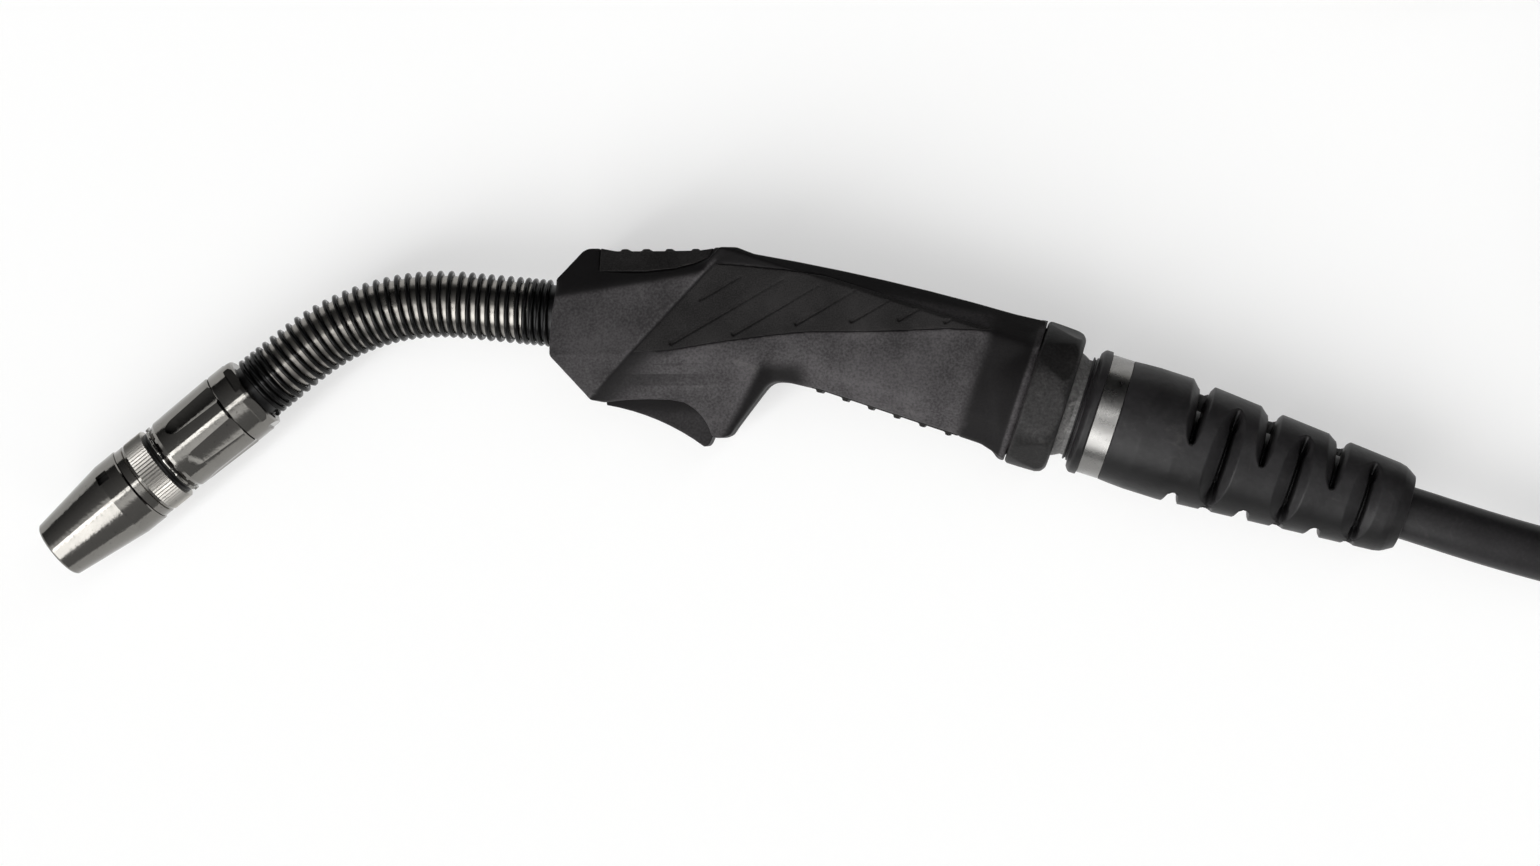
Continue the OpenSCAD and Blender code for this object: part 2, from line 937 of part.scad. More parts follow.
module handle_screws() {
    color("silver")
        flat_on_handle()
        for (s = screw_spots)
            translate([s[0], s[1], 0])
            difference() {
                union() {
                    translate([0, 0, -12])
                        cylinder(r = screw_r, h = screw_l);
                    translate([0, 0, -14])
                        cylinder(r = screw_head_r, h = 2);
                }
                translate([0, 0, -15])
                    cylinder(r = 1.2, h = 2.2, $fn = 6);
            }
}

// ---- Power cable inside the handle ----

block_front = neck_inside + 2.2;
block_end = 62;

module cable_block() {
    color("goldenrod")
        flat_on_handle()
        rotate([0, 0, -neck_rise])
        rotate([0, 90, 0])
        difference() {
            union() {
                translate([0, 0, block_front])
                    cylinder(r = 8.2, h = 14);
                translate([0, 0, block_front + 14])
                    cylinder(r = 5.4, h = block_end - block_front - 14);
            }
            translate([0, 0, block_front - cut_over])
                cylinder(r = core_r + slide_fit, h = 10 + cut_over);
            translate([0, 0, block_front - cut_over])
                cylinder(r = liner_r + slide_fit, h = block_end);
        }
}

inner_bend_r = 100;
inner_bend = tail_drop - neck_rise;
corner_u = (cos(tail_drop) * handle_drop - sin(tail_drop) * handle_l) / -sin(inner_bend);
corner = corner_u * [cos(neck_rise), -sin(neck_rise)];
corner_t = inner_bend_r * tan(inner_bend / 2);
corner_s = norm(rear_in_handle - corner);
cable_gap = 1;

module handle_cable() {
    r = cable_d / 2;
    color([0.1, 0.1, 0.1])
        flat_on_handle()
        rotate([0, 0, -neck_rise])
        translate([corner_u - corner_t, -inner_bend_r, 0])
        rotate([0, 0, 90]) {
            translate([inner_bend_r, -bend_lap, 0])
                rotate([-90, 0, 0])
                cylinder(r = r, h = corner_u - corner_t - block_end + bend_lap);
            rotate([0, 0, -inner_bend])
                rotate_extrude(angle = inner_bend)
                translate([inner_bend_r, 0])
                circle(r = r + bend_proud);
            rotate([0, 0, -inner_bend])
                translate([inner_bend_r, bend_lap, 0])
                rotate([90, 0, 0])
                cylinder(r = r, h = corner_s - corner_t + ball_s - cable_gap + bend_lap);
        }
}

// ---- Trigger and switch ----

module trigger() {
    color([0.12, 0.12, 0.13])
        flat_on_handle()
        difference() {
            slab(trigger_w)
                trigger_side();
            translate([pivot[0], pivot[1], -trigger_w])
                cylinder(r = pivot_d / 2 + slide_fit, h = 2 * trigger_w);
        }
}

module trigger_pin() {
    color("silver")
        flat_on_handle()
        translate([pivot[0], pivot[1], -trigger_w / 2 - 3.5])
        cylinder(r = pivot_d / 2, h = trigger_w + 7);
}

module switch_body() {
    color("darkslategray")
        flat_on_handle()
        difference() {
            translate([switch_from, switch_low, -switch_w / 2])
                cube([switch_to - switch_from, switch_high - switch_low, switch_w]);
            translate([plunger_x, switch_low - cut_over, 0])
                rotate([-90, 0, 0])
                cylinder(r = plunger_d / 2 + slide_fit, h = 7 + cut_over);
        }
}

module switch_plunger() {
    color("firebrick")
        flat_on_handle()
        translate([plunger_x, trigger_top + 0.2, 0])
        rotate([-90, 0, 0])
        cylinder(r = plunger_d / 2, h = 6);
}

lead_route = [[60.8, -13.4], [59, -13.8], [56, -15], [53, -16.8], [50, -18.2], [47.5, -18.8], [45.5, -19]];

module switch_leads() {
    color("crimson")
        flat_on_handle()
        for (side = [-1, 1]) {
            path = [for (p = lead_route) [p[0], p[1], 1.6 * side]];
            tube(path, 0.8, 8, upright(path));
        }
}

// ---- Swivel joint, boot and clamp ----

ball_from = ball_s - 13;
ball_to = 17;
ball_neck_r = 16.6;
ball_neck_to = 46;
core_clear = 0.6;
nut_facets = 8;

module lock_nut() {
    r = nut_d / 2;
    lip = 13.4;
    color([0.12, 0.12, 0.13])
        at_rear()
        difference() {
            turned(concat(
                [[thread_r + 0.1, 0.3], [r - 0.8, 0.3], [r, 1]],
                [[r, nut_l - 3.2], [r - 0.8, nut_l - 1.3], [r - 2.6, nut_l], [18.6, nut_l]],
                [for (i = [0 : 5])
                    let (s = lip - (lip - thread_l - 0.3) * i / 5, rr = ball_d / 2 + run_gap)
                    [sqrt(rr * rr - pow(s - ball_s, 2)), s]],
                [[thread_r + 0.1, thread_l + 0.3]]
            ));
            for (i = [0 : nut_facets - 1])
                rotate([0, 0, 11.5 + 360 / nut_facets * i])
                translate([r - 0.1, 0, 1])
                rotate([0, -6.5, 0])
                translate([0, -r, 0])
                cube([6, 2 * r, nut_l + 4]);
        }
}

module swivel_ball() {
    color("gray")
        at_rear()
        difference() {
            union() {
                intersection() {
                    translate([0, 0, ball_s])
                        sphere(r = ball_d / 2);
                    translate([0, 0, ball_from])
                        cylinder(r = ball_d, h = ball_to - ball_from);
                }
                translate([0, 0, ball_to - 1])
                    cylinder(r = ball_neck_r, h = ball_neck_to - ball_to + 1);
            }
            translate([0, 0, ball_s - 1])
                cylinder(r = cable_d / 2 + core_clear, h = ball_neck_to);
            translate([0, 0, ball_from - 0.01])
                cylinder(r1 = 13.4, r2 = cable_d / 2 + core_clear, h = ball_s - ball_from);
        }
}

rim_s = 20.4;
band_s = 24.4;
boot_bulge_s = 53;
slot_pitch = 12.12;
slot_first = 57.1;
slot_count = 6;
slot_core_r = 11.2;
boot_bulge_r = 21.2;

function boot_r(s) =
    s < boot_bulge_s ? boot_bulge_r
    : boot_bulge_r + (boot_end_d / 2 - boot_bulge_r) * (s - boot_bulge_s) / (boot_reach - 6 - boot_bulge_s);

module boot_outline() {
    neck = ball_neck_r + 0.05;
    polygon(concat(
        [[neck, 17.6], [18, 17.6], [18, 18.5], [17.3, 18.7], [17.3, 19.1], [18, 19.3], [18, 20.2]],
        [[rim_d / 2 - 1.6, rim_s], [rim_d / 2, rim_s + 1.4], [rim_d / 2, band_s - 0.2]],
        [[20.1, band_s - 0.2], [20.1, band_s + band_w + 0.2], [20.7, band_s + band_w + 0.2]],
        [[boot_bulge_r, boot_bulge_s - 12], [boot_bulge_r, boot_bulge_s]],
        [[boot_r(boot_reach - 6), boot_reach - 6], [boot_end_d / 2 - 1.2, boot_reach - 2.5]],
        [[12.6, boot_reach], [cable_d / 2 + slide_fit, boot_reach]],
        [[cable_d / 2 + slide_fit, ball_neck_to + 0.2], [neck, ball_neck_to + 0.2]]
    ));
}

// A slot with flared lips, from `turn` on through `span` degrees
module boot_slot(s, turn, span) {
    r = boot_r(s);
    rotate([0, 0, turn])
        rotate_extrude(angle = span)
        polygon([
            [slot_core_r, s - 0.9], [r - 5, s - 1.2], [r - 1.4, s - 1.5], [r + 1, s - 3],
            [r + 1, s + 3], [r - 1.4, s + 1.5], [r - 5, s + 1.2], [slot_core_r, s + 0.9]
        ]);
}

module cable_boot() {
    color([0.14, 0.14, 0.14])
        at_rear()
        difference() {
            rotate_extrude()
                boot_outline();
            for (i = [0 : slot_count - 1]) {
                s = slot_first + slot_pitch * i;
                if (i % 2 == 0) {
                    boot_slot(s, -118, 120);
                    boot_slot(s, 62, 120);
                } else {
                    boot_slot(s, -50, 112);
                    boot_slot(s, 130, 112);
                    boot_slot(s, 68, 36);
                }
            }
        }
}

module band_clamp() {
    r = 20.1;
    ear = 3.2;
    color("silver")
        at_rear()
        translate([0, 0, band_s]) {
            difference() {
                union() {
                    cylinder(r = r + 0.55, h = band_w);
                    translate([-r - ear, -4.2, 0.6])
                        cube([ear + 2, 8.4, band_w - 1.2]);
                }
                translate([0, 0, -cut_over])
                    cylinder(r = r, h = band_w + 2 * cut_over);
                translate([-r - ear + 0.7, -3.4, -cut_over])
                    cube([ear - 1.2, 6.8, band_w + 2 * cut_over]);
            }
        }
}

module cable_core() {
    color([0.1, 0.1, 0.1])
        at_rear()
        translate([0, 0, ball_s + cable_gap])
        cylinder(r = cable_d / 2, h = boot_reach - ball_s - cable_gap);
}

// ---- Free cable ----

cable_r = cable_d / 2;
flat_cut = cable_d / 10;
tie_t = 1.2;
coil_floor = tie_t + floor_gap;
coil_low = coil_floor + cable_r - flat_cut;
coil_step = cable_d + 0.6;
coil_high = coil_low + cable_d + 0.5;
coil_turns = 2 * layer_turns;
coil_first_r = coil_mid_r + coil_step * layer_turns / 2;
coil_at = [410.6, 55.72];
rings_per_loop = 24;

// Route of the cable from the boot to the coil
run_route = [
    [230, -34.08, 25], [239.5, -37.13, 25], [248.6, -40.08, 24.6], [258.6, -43.18, 23.6],
    [268.6, -46.08, 22.2], [279.6, -49.08, 20.2], [290.6, -51.78, 18], [302.6, -54.28, 15.6],
    [314.6, -56.48, 13.4], [327.6, -58.28, 11.4], [340.6, -59.48, 9.8], [354.6, -60.08, 8.9],
    [368.6, -60.18, 8.6], [380.6, -60.18, 8.6], [392.6, -60.18, 8.6]
];

function coil_r_at(t) =
    t < layer_turns ? coil_first_r - coil_step * t : coil_first_r - coil_step * (coil_turns - t);

function climb(t) =
    let (k = min(max((t - layer_turns + 0.25) / 0.5, 0), 1))
    (1 - cos(180 * k)) / 2;

function coil_point(t) =
    let (a = 360 * t - 90, r = coil_r_at(t))
    [coil_at[0] + r * cos(a), coil_at[1] + r * sin(a), coil_low + (coil_high - coil_low) * climb(t)];

coil_steps = coil_turns * rings_per_loop;
coil_path = concat(
    [coil_point(0) - [cable_d, 0, 0]],
    [for (i = [0 : coil_steps]) coil_point(i / rings_per_loop)],
    [coil_point(coil_turns) - [cable_d, 0, 0]]
);

// Route of the cable from the coil to the connector
tail_route = [
    [392.6, 171.62, 27.1], [387.6, 171.62, 27.1], [380.6, 171.62, 26.6], [373.6, 171.62, 25.7],
    [366.6, 171.62, 24.8], [360.6, 171.62, 24.3], [356.6, 171.62, 24.2], [342.6, 171.62, 24.2]
];

module cable_run() {
    color([0.1, 0.1, 0.1])
        tube(run_route, cable_r, 12, upright(run_route), coil_floor);
}

module cable_coil() {
    echo(coil_least_gap = least_gap(coil_path, cable_r, 13, 1000));
    color([0.1, 0.1, 0.1])
        tube(coil_path, cable_r, 6, upright(coil_path), coil_floor);
}

module cable_tail() {
    color([0.1, 0.1, 0.1])
        tube(tail_route, cable_r, 12, upright(tail_route));
}

// The coil's reach at a share f of a turn past its start
function turns_at(f) = [for (k = [0 : 4]) if (f + k <= coil_turns) coil_r_at(f + k)];
tie_shares = [0.2, 0.62, 0.88];
tie_w = 20;

module coil_ties() {
    sag = tie_w * tie_w / 8 / (coil_mid_r - coil_step * layer_turns / 2 - cable_r);
    clear = cable_r + 0.5 + sag;
    color("dimgray")
        for (f = tie_shares)
            translate([coil_at[0], coil_at[1], 0])
            rotate([0, 0, 360 * f - 90])
            rotate([90, 0, 0])
            slab(tie_w)
            difference() {
                translate([min(turns_at(f)) - clear - tie_t, 0])
                    square([
                        max(turns_at(f)) - min(turns_at(f)) + 2 * (clear + tie_t),
                        coil_high + cable_r + 0.4 + tie_t
                    ]);
                translate([min(turns_at(f)) - clear, tie_t])
                    square([
                        max(turns_at(f)) - min(turns_at(f)) + 2 * clear,
                        coil_high + cable_r + 0.4 - tie_t
                    ]);
            }
}

// ---- Connector on the cable's end ----

plug_start = [342.6, 171.62, 24.2];
grip_r = 19;
relief_l = 42;
connector_grip_l = 46;
plug_flange_r = 17;
z_grip = relief_l - 8;
z_flange = z_grip + connector_grip_l;
z_spigot = z_flange + 8;
z_nipple = z_spigot + spigot_l;
nipple_l = 14;
lip_r = 15.4;
contact_off = 12.6;
contact_stick_out = 8;
contact_room = 3.5;

module at_plug() {
    translate(plug_start)
        rotate([0, -90, 0])
        children();
}

module connector_boot() {
    color([0.14, 0.14, 0.14])
        at_plug()
        difference() {
            turned([
                [cable_r + slide_fit, -12], [cable_r + 2, -12], [13.6, z_grip], [15, z_grip + 0.2],
                [15, relief_l], [0, relief_l], [0, 0], [cable_r + slide_fit, 0]
            ]);
            for (i = [0 : 4])
                translate([0, 0, -6 + 7 * i])
                ring(30, cable_r + 1.2, 0, 1.8);
        }
}

module connector_grip() {
    color([0.13, 0.13, 0.14])
        at_plug()
        difference() {
            turned([
                [0, relief_l], [15.1, relief_l], [15.1, z_grip], [16.5, z_grip], [grip_r, z_grip + 5],
                [grip_r, z_flange - 6.5], [lip_r, z_flange - 4.5], [lip_r, z_flange], [0, z_flange]
            ]);
            for (i = [0 : 11])
                rotate([0, 0, 30 * i])
                translate([grip_r + 0.8, 0, z_grip + 8])
                cylinder(r = 1.6, h = connector_grip_l - 20);
            for (side = [-1, 1])
                translate([0, side * contact_off, z_flange - contact_room])
                cylinder(r = contact_d / 2 + run_gap, h = contact_room + cut_over);
        }
}

module connector_plug() {
    color("goldenrod")
        at_plug()
        difference() {
            union() {
                translate([0, 0, z_flange])
                    cylinder(r = plug_flange_r, h = 8);
                translate([0, 0, z_spigot])
                    cylinder(r = spigot_d / 2, h = spigot_l);
                translate([0, 0, z_nipple])
                    cylinder(r = 5, h = nipple_l);
            }
            translate([0, 0, z_flange - cut_over])
                cylinder(r = 2.4, h = 80);
            translate([0, 0, z_nipple - 5])
                difference() {
                    cylinder(r = spigot_d, h = 2.4);
                    translate([0, 0, -cut_over])
                        cylinder(r = spigot_d / 2 - 2.1, h = 5);
                }
            for (side = [-1, 1])
                translate([0, side * contact_off, z_flange - cut_over])
                cylinder(r = contact_d / 2 + slide_fit, h = 10);
        }
}

module plug_seal() {
    color("black")
        at_plug()
        translate([0, 0, z_nipple - 5 + 1.2])
        rotate_extrude()
        translate([spigot_d / 2 - 1.05, 0])
        circle(r = 1);
}

module hand_nut() {
    r = hand_nut_d / 2;
    from = z_flange - 4;
    color([0.13, 0.13, 0.14])
        at_plug()
        difference() {
            turned([
                [lip_r + run_gap, from], [r - 3, from], [r, from + 3], [r, from + hand_nut_l - 1],
                [r - 1, from + hand_nut_l], [19.6, from + hand_nut_l], [19.6, z_spigot + 0.4],
                [plug_flange_r + run_gap, z_spigot + 0.4], [plug_flange_r + run_gap, z_flange - 0.4],
                [lip_r + run_gap, z_flange - 0.4]
            ]);
            for (i = [0 : 15])
                rotate([0, 0, 22.5 * i + 11.25])
                translate([r + 0.9, 0, from + 4])
                cylinder(r = 2.2, h = hand_nut_l);
        }
}

module contact_pin(side) {
    color("gold")
        at_plug()
        translate([0, side * contact_off, z_flange + 0.3])
        cylinder(r = contact_d / 2, h = 7.7 + contact_stick_out);
}

module contact_pin_a() {
    contact_pin(1);
}

module contact_pin_b() {
    contact_pin(-1);
}

module liner_nut() {
    color("goldenrod")
        at_plug()
        difference() {
            translate([0, 0, z_nipple + nipple_l])
                cylinder(r = 5, h = 6, $fn = 6);
            translate([0, 0, z_nipple])
                cylinder(r = 1, h = 40);
        }
}

gas_nozzle();
nozzle_seat();
knurled_ring();
insulating_ring();
fluted_body();
neck_collar();
contact_tip();
tip_holder();
gas_diffuser();
neck_tube();
neck_insulation();
conductor_tube();
wire_liner();
neck_spring();
handle_left();
handle_right();
inlay_left();
inlay_right();
thumb_pad();
finger_strip();
handle_screws();
cable_block();
handle_cable();
trigger();
trigger_pin();
switch_body();
switch_plunger();
switch_leads();
lock_nut();
swivel_ball();
cable_boot();
band_clamp();
cable_core();
cable_run();
cable_coil();
coil_ties();
cable_tail();
connector_boot();
connector_grip();
connector_plug();
plug_seal();
hand_nut();
contact_pin_a();
contact_pin_b();
liner_nut();
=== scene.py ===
# %% [markdown]
# # A MIG welding torch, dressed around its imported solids
# The torch lies on its side on a pale bench, with its power cable coiled beside it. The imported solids
# give every size, so a piece made here goes where its solid is. Hard metal parts keep their solids and
# get a finish. Moulded and soft parts are made again with the small rounds that moulding leaves.

# %% Load the solids
import json
import math

import bmesh
import bpy
import numpy as np
from mathutils import Matrix, Vector

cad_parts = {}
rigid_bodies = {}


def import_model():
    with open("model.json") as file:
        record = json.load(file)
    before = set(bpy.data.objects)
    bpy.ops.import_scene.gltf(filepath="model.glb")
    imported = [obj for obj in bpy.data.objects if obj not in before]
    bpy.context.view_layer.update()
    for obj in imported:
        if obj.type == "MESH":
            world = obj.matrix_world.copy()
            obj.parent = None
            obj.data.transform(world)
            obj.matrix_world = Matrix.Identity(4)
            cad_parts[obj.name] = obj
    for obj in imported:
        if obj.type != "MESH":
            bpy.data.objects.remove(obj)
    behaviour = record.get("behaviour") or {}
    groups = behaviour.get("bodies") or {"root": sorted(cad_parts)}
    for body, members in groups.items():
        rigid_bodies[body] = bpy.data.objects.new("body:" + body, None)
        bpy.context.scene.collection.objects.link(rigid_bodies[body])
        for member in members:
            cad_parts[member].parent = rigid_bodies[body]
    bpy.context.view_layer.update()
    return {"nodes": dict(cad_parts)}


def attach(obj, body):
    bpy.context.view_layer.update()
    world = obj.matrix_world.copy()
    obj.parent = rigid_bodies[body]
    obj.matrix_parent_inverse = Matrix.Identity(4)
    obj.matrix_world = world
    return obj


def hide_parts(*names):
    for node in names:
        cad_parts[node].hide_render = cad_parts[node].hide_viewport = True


for spare in list(bpy.data.objects):
    bpy.data.objects.remove(spare)
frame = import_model()
parts = frame["nodes"]
MM = 0.001

# %% [markdown]
# ## Camera
# The torch is seen from nearly straight above. Its nozzle end is a little farther from the eye than
# the cable end, so the camera leans 4 degrees towards the cable. A lens of about 80 mm at 1.14 m
# keeps parallel edges nearly parallel.

# %% Set the camera
LEAN = math.radians(4.0)
EYE_DISTANCE = 1.14
VIEW_WIDTH = 0.5218
SENSOR = 36
look_at = Vector((0.0176, -0.0077, 0.025))
camera_data = bpy.data.cameras.new("bench_camera")
camera_data.sensor_width = SENSOR
camera_data.lens = SENSOR * EYE_DISTANCE / VIEW_WIDTH
camera = bpy.data.objects.new("bench_camera", camera_data)
camera.location = look_at + EYE_DISTANCE * Vector((math.sin(LEAN), 0, math.cos(LEAN)))
camera.rotation_euler = (0, LEAN, 0)
bpy.context.scene.collection.objects.link(camera)
bpy.context.scene.camera = camera
bpy.context.scene.view_settings.view_transform = "Standard"
print("lens:", round(camera_data.lens, 1), "mm")

# %% [markdown]
# ## Small helpers
# Paint codes are written as sRGB hex, and Blender's shaders want linear light, so one function turns
# one into the other, and a second makes a tone darker or paler. A third adds a shader node with its
# settings and links in a single line. Patterns are measured in millimetres, so that each can be
# checked against the real thing. Every finish starts and ends alike, which two more functions do.

# %% Colour and node helpers
def paint(code):
    """Linear RGBA of an sRGB hex code such as '2b2b2c'."""
    channels = [int(code[i : i + 2], 16) / 255 for i in (0, 2, 4)]
    return [c / 12.92 if c <= 0.04045 else ((c + 0.055) / 1.055) ** 2.4 for c in channels] + [1]


def shade(code, share):
    """The same colour, `share` times as bright."""
    return [share * c for c in paint(code)[:3]] + [1]


def add(tree, kind, sockets=None, **settings):
    """A new node of that kind: settings are its attributes, sockets its inputs' values or links."""
    node = tree.nodes.new(kind)
    for name, value in settings.items():
        setattr(node, name, value)
    for name, value in (sockets or {}).items():
        if isinstance(value, bpy.types.NodeSocket):
            tree.links.new(value, node.inputs[name])
        else:
            node.inputs[name].default_value = value
    return node


def per_mm(size):
    """Noise scale at which one feature is about `size` millimetres across."""
    return 1000 / size


print("mid grey is", round(paint("808080")[0], 3), "in linear light")

# %% Start and end of a finish
def new_finish(name, colour):
    """A new material, its node tree, its shader, and the place that its patterns are drawn from."""
    material = bpy.data.materials.new(name)
    material.use_nodes = True
    material.diffuse_color = paint(colour)
    tree = material.node_tree
    return material, tree, tree.nodes["Principled BSDF"], add(tree, "ShaderNodeTexCoord").outputs["Object"]


def dress(tree, shader, tone, gloss, relief, depth):
    """Gives a shader its colour, its roughness and a relief that is `depth` millimetres deep."""
    bump = add(
        tree, "ShaderNodeBump", {"Height": relief.outputs[0], "Strength": 1.0, "Distance": depth * MM}
    )
    tree.links.new(tone.outputs[2], shader.inputs["Base Color"])
    tree.links.new(gloss.outputs[0], shader.inputs["Roughness"])
    tree.links.new(bump.outputs[0], shader.inputs["Normal"])


print("a noise of scale", round(per_mm(0.5)), "has features half a millimetre across")

# %% [markdown]
# ## Moulded plastic and rubber
# Glass-filled nylon and rubber leave the mould with a fine spark-eroded grain, a slow mottle where
# the melt cooled unevenly, and dull scuffs where benches rub. A painted texture could show them, but
# noise at three real sizes does it on any shape: the grain goes to bump, the mottle to colour and
# roughness, the scuffs to colour. Shade is painted into the colour too, mostly on tops and in hollows.
# The pieces carry that painted shade as an attribute of their points, from 0 to 1. A piece without
# the attribute has no painted shade.

# %% Moulded finish
POLYMER_IOR = 1.5
MOTTLE = 14  # millimetres across one cloud of the mottle
SCUFF = 7  # millimetres across one scuff
PAINTED_SHADE_TONE = 0.15  # where the painted shade is full, the colour keeps this share


def moulded(
    name, colour, pale, grain, depth=0.03, rough=0.5, scuffed=0.35, shine=0.3, sheen=0.0, speckled=0.4,
    lumps=0.0,
):
    """A moulded material with its colour, and the paler tone of its scuffs.

    grain and depth are the bump's width and height in millimetres. scuffed is how much of a scuff shows,
    speckled how far the mottle goes up and down in tone, lumps how much of the mottle is bump too.
    """
    material, tree, shader, place = new_finish(name, colour)
    grains = add(tree, "ShaderNodeTexNoise", {"Vector": place, "Scale": per_mm(grain), "Detail": 3})
    mottle = add(tree, "ShaderNodeTexNoise", {"Vector": place, "Scale": per_mm(MOTTLE), "Detail": 5})
    scuffs = add(
        tree, "ShaderNodeTexNoise",
        {"Vector": place, "Scale": per_mm(SCUFF), "Detail": 8, "Roughness": 0.7, "Distortion": 1.2},
    )
    scuff_share = add(
        tree, "ShaderNodeMapRange",
        {"Value": scuffs.outputs[0], "From Min": 0.56, "From Max": 0.74, "To Max": scuffed},
    )
    clouds = add(tree, "ShaderNodeMath", {0: grains.outputs[0], 1: mottle.outputs[0]}, operation="ADD")
    cloud_share = add(
        tree, "ShaderNodeMapRange", {"Value": clouds.outputs[0], "From Min": 0.75, "From Max": 1.25}
    )
    base = add(
        tree, "ShaderNodeMix",
        {"Factor": cloud_share.outputs[0], 6: shade(colour, 1 - speckled), 7: shade(colour, 1 + speckled)},
        data_type="RGBA",
    )
    scuffed_base = add(
        tree, "ShaderNodeMix", {"Factor": scuff_share.outputs[0], 6: base.outputs[2], 7: paint(pale)},
        data_type="RGBA",
    )
    # painted shade: this attribute darkens the colour, mostly on tops and in hollows
    painted_shade = add(tree, "ShaderNodeAttribute", attribute_name="painted_shade")
    tone = add(
        tree, "ShaderNodeMix",
        {"Factor": painted_shade.outputs["Fac"], 6: scuffed_base.outputs[2], 7: shade(colour, PAINTED_SHADE_TONE)},
        data_type="RGBA",
    )
    gloss = add(
        tree, "ShaderNodeMapRange",
        {"Value": mottle.outputs[0], "From Min": 0.3, "From Max": 0.7,
         "To Min": rough - 0.06, "To Max": rough + 0.08},
    )
    relief = add(
        tree, "ShaderNodeMath", {0: mottle.outputs[0], 1: lumps, 2: grains.outputs[0]},
        operation="MULTIPLY_ADD",
    )
    dress(tree, shader, tone, gloss, relief, depth)
    shader.inputs["IOR"].default_value = POLYMER_IOR
    shader.inputs["Specular IOR Level"].default_value = shine
    shader.inputs["Sheen Weight"].default_value = sheen
    return material


print("mottle:", MOTTLE, "mm, scuffs:", SCUFF, "mm")

# %% [markdown]
# ## Handle, nut, grips and boot
# The handle, trigger and nut are nylon with glass fibre, which is stiff and takes the heat. The grips
# are a soft thermoplastic rubber and the boot is chloroprene rubber. All of them start from an IOR of
# 1.5 and the roughness of a matt moulding, 0.5, and are then matched to the look of a used torch: one
# that is dull, dark and a little greasy. Spark grain is about 0.1 mm wide, too fine to show from a
# metre away, so it is drawn at 0.5 to 2.5 mm, as coarse as each piece needs for it to show.

# %% Moulded materials
# Glass fibres just under the skin make this nylon look dry, pebbled and dark grey.
nylon = moulded("glass_filled_nylon_moulded", "444243", "666463", grain=0.8, depth=0.07, shine=0.06)
# The nut is tightened by hand and scrapes along benches: darker, with more pale scuffs.
nut_nylon = moulded(
    "nylon_nut_moulded", "313030", "5c5a59", grain=0.9, depth=0.04, rough=0.45, scuffed=0.5, shine=0.1
)
# Soft rubber scatters light evenly: nearly black, flat, with no highlight to speak of.
grip_rubber = moulded(
    "thermoplastic_rubber_moulded", "262525", "393737", grain=0.5, depth=0.02, rough=0.55, shine=0.05
)
# A boot is handled with oily gloves: black, softly lumpy, with broad blurred highlights.
boot_rubber = moulded(
    "chloroprene_rubber_moulded", "272627", "444241", grain=2.5, depth=0.02, rough=0.4, shine=0.2,
    speckled=0.2, lumps=25,
)
print("moulded finishes:", nylon.name, nut_nylon.name, grip_rubber.name, boot_rubber.name)

# %% [markdown]
# ## Turned and plated metal
# Each front-end part is turned brass under nickel plate. The tool leaves fine rings around the axis,
# which stretch highlights along the part, and plating adds tiny pits and smudges. The rings are noise
# of one dimension along the axis, which costs less than rings in the mesh and stays fine. A metal
# keeps the default IOR, and its tint is its base colour. Real tool marks are about 0.1 mm apart, and
# are drawn 0.25 mm apart to show.

# %% Turned finish
TOOL_MARK = 0.25  # millimetres from one tool mark to the next
SMUDGE = 9  # millimetres across one smudge of the plating
PIT = 1.4  # millimetres between pits, drawn coarser than they are
PIT_SHADE = 0.25  # a pit has this share of the metal's brightness


def turned(name, colour, axis, rough=0.2, ring=TOOL_MARK, depth=0.004, smudge=0.12, stipple=0.0):
    """A turned metal: rings `ring` millimetres apart across the axis, `depth` millimetres deep.

    smudge is how much rougher a smudge is, stipple how strongly small dimples break the rings.
    """
    material, tree, shader, place = new_finish(name, colour)
    along = add(tree, "ShaderNodeVectorMath", {0: place, 1: axis}, operation="DOT_PRODUCT")
    rings = add(
        tree, "ShaderNodeTexNoise", {"W": along.outputs["Value"], "Scale": per_mm(ring), "Detail": 3},
        noise_dimensions="1D",
    )
    smudges = add(
        tree, "ShaderNodeTexNoise",
        {"Vector": place, "Scale": per_mm(SMUDGE), "Detail": 6, "Roughness": 0.65, "Distortion": 0.6},
    )
    specks = add(tree, "ShaderNodeTexNoise", {"Vector": place, "Scale": per_mm(PIT), "Detail": 2})
    pits = add(
        tree, "ShaderNodeMapRange",
        {"Value": specks.outputs[0], "From Min": 0.66, "From Max": 0.74, "To Max": 0.35},
    )
    base = add(
        tree, "ShaderNodeMix", {"Factor": smudges.outputs[0], 6: shade(colour, 1.15), 7: shade(colour, 0.8)},
        data_type="RGBA",
    )
    tone = add(
        tree, "ShaderNodeMix",
        {"Factor": pits.outputs[0], 6: base.outputs[2], 7: shade(colour, PIT_SHADE)}, data_type="RGBA",
    )
    gloss = add(
        tree, "ShaderNodeMapRange",
        {"Value": smudges.outputs[0], "From Min": 0.35, "From Max": 0.7,
         "To Min": rough, "To Max": rough + smudge},
    )
    dimpled = add(
        tree, "ShaderNodeMath", {0: specks.outputs[0], 1: stipple, 2: rings.outputs[0]},
        operation="MULTIPLY_ADD",
    )
    relief = add(tree, "ShaderNodeMath", {0: dimpled.outputs[0], 1: pits.outputs[0]}, operation="SUBTRACT")
    dress(tree, shader, tone, gloss, relief, depth)
    shader.inputs["Metallic"].default_value = 1
    return material


print("tool marks, smudges and pits:", TOOL_MARK, SMUDGE, PIT, "mm")

# %% [markdown]
# ## The metals
# Each metal's rings run round the axis of its own part: the nozzle points down to the left, the cable
# leaves down to the right, and the plug looks back to the left. Polished nickel has a roughness of
# about 0.1 and drawn or brushed steel 0.2 to 0.35. The colours are matched to a front end that heat
# and spatter have dulled.

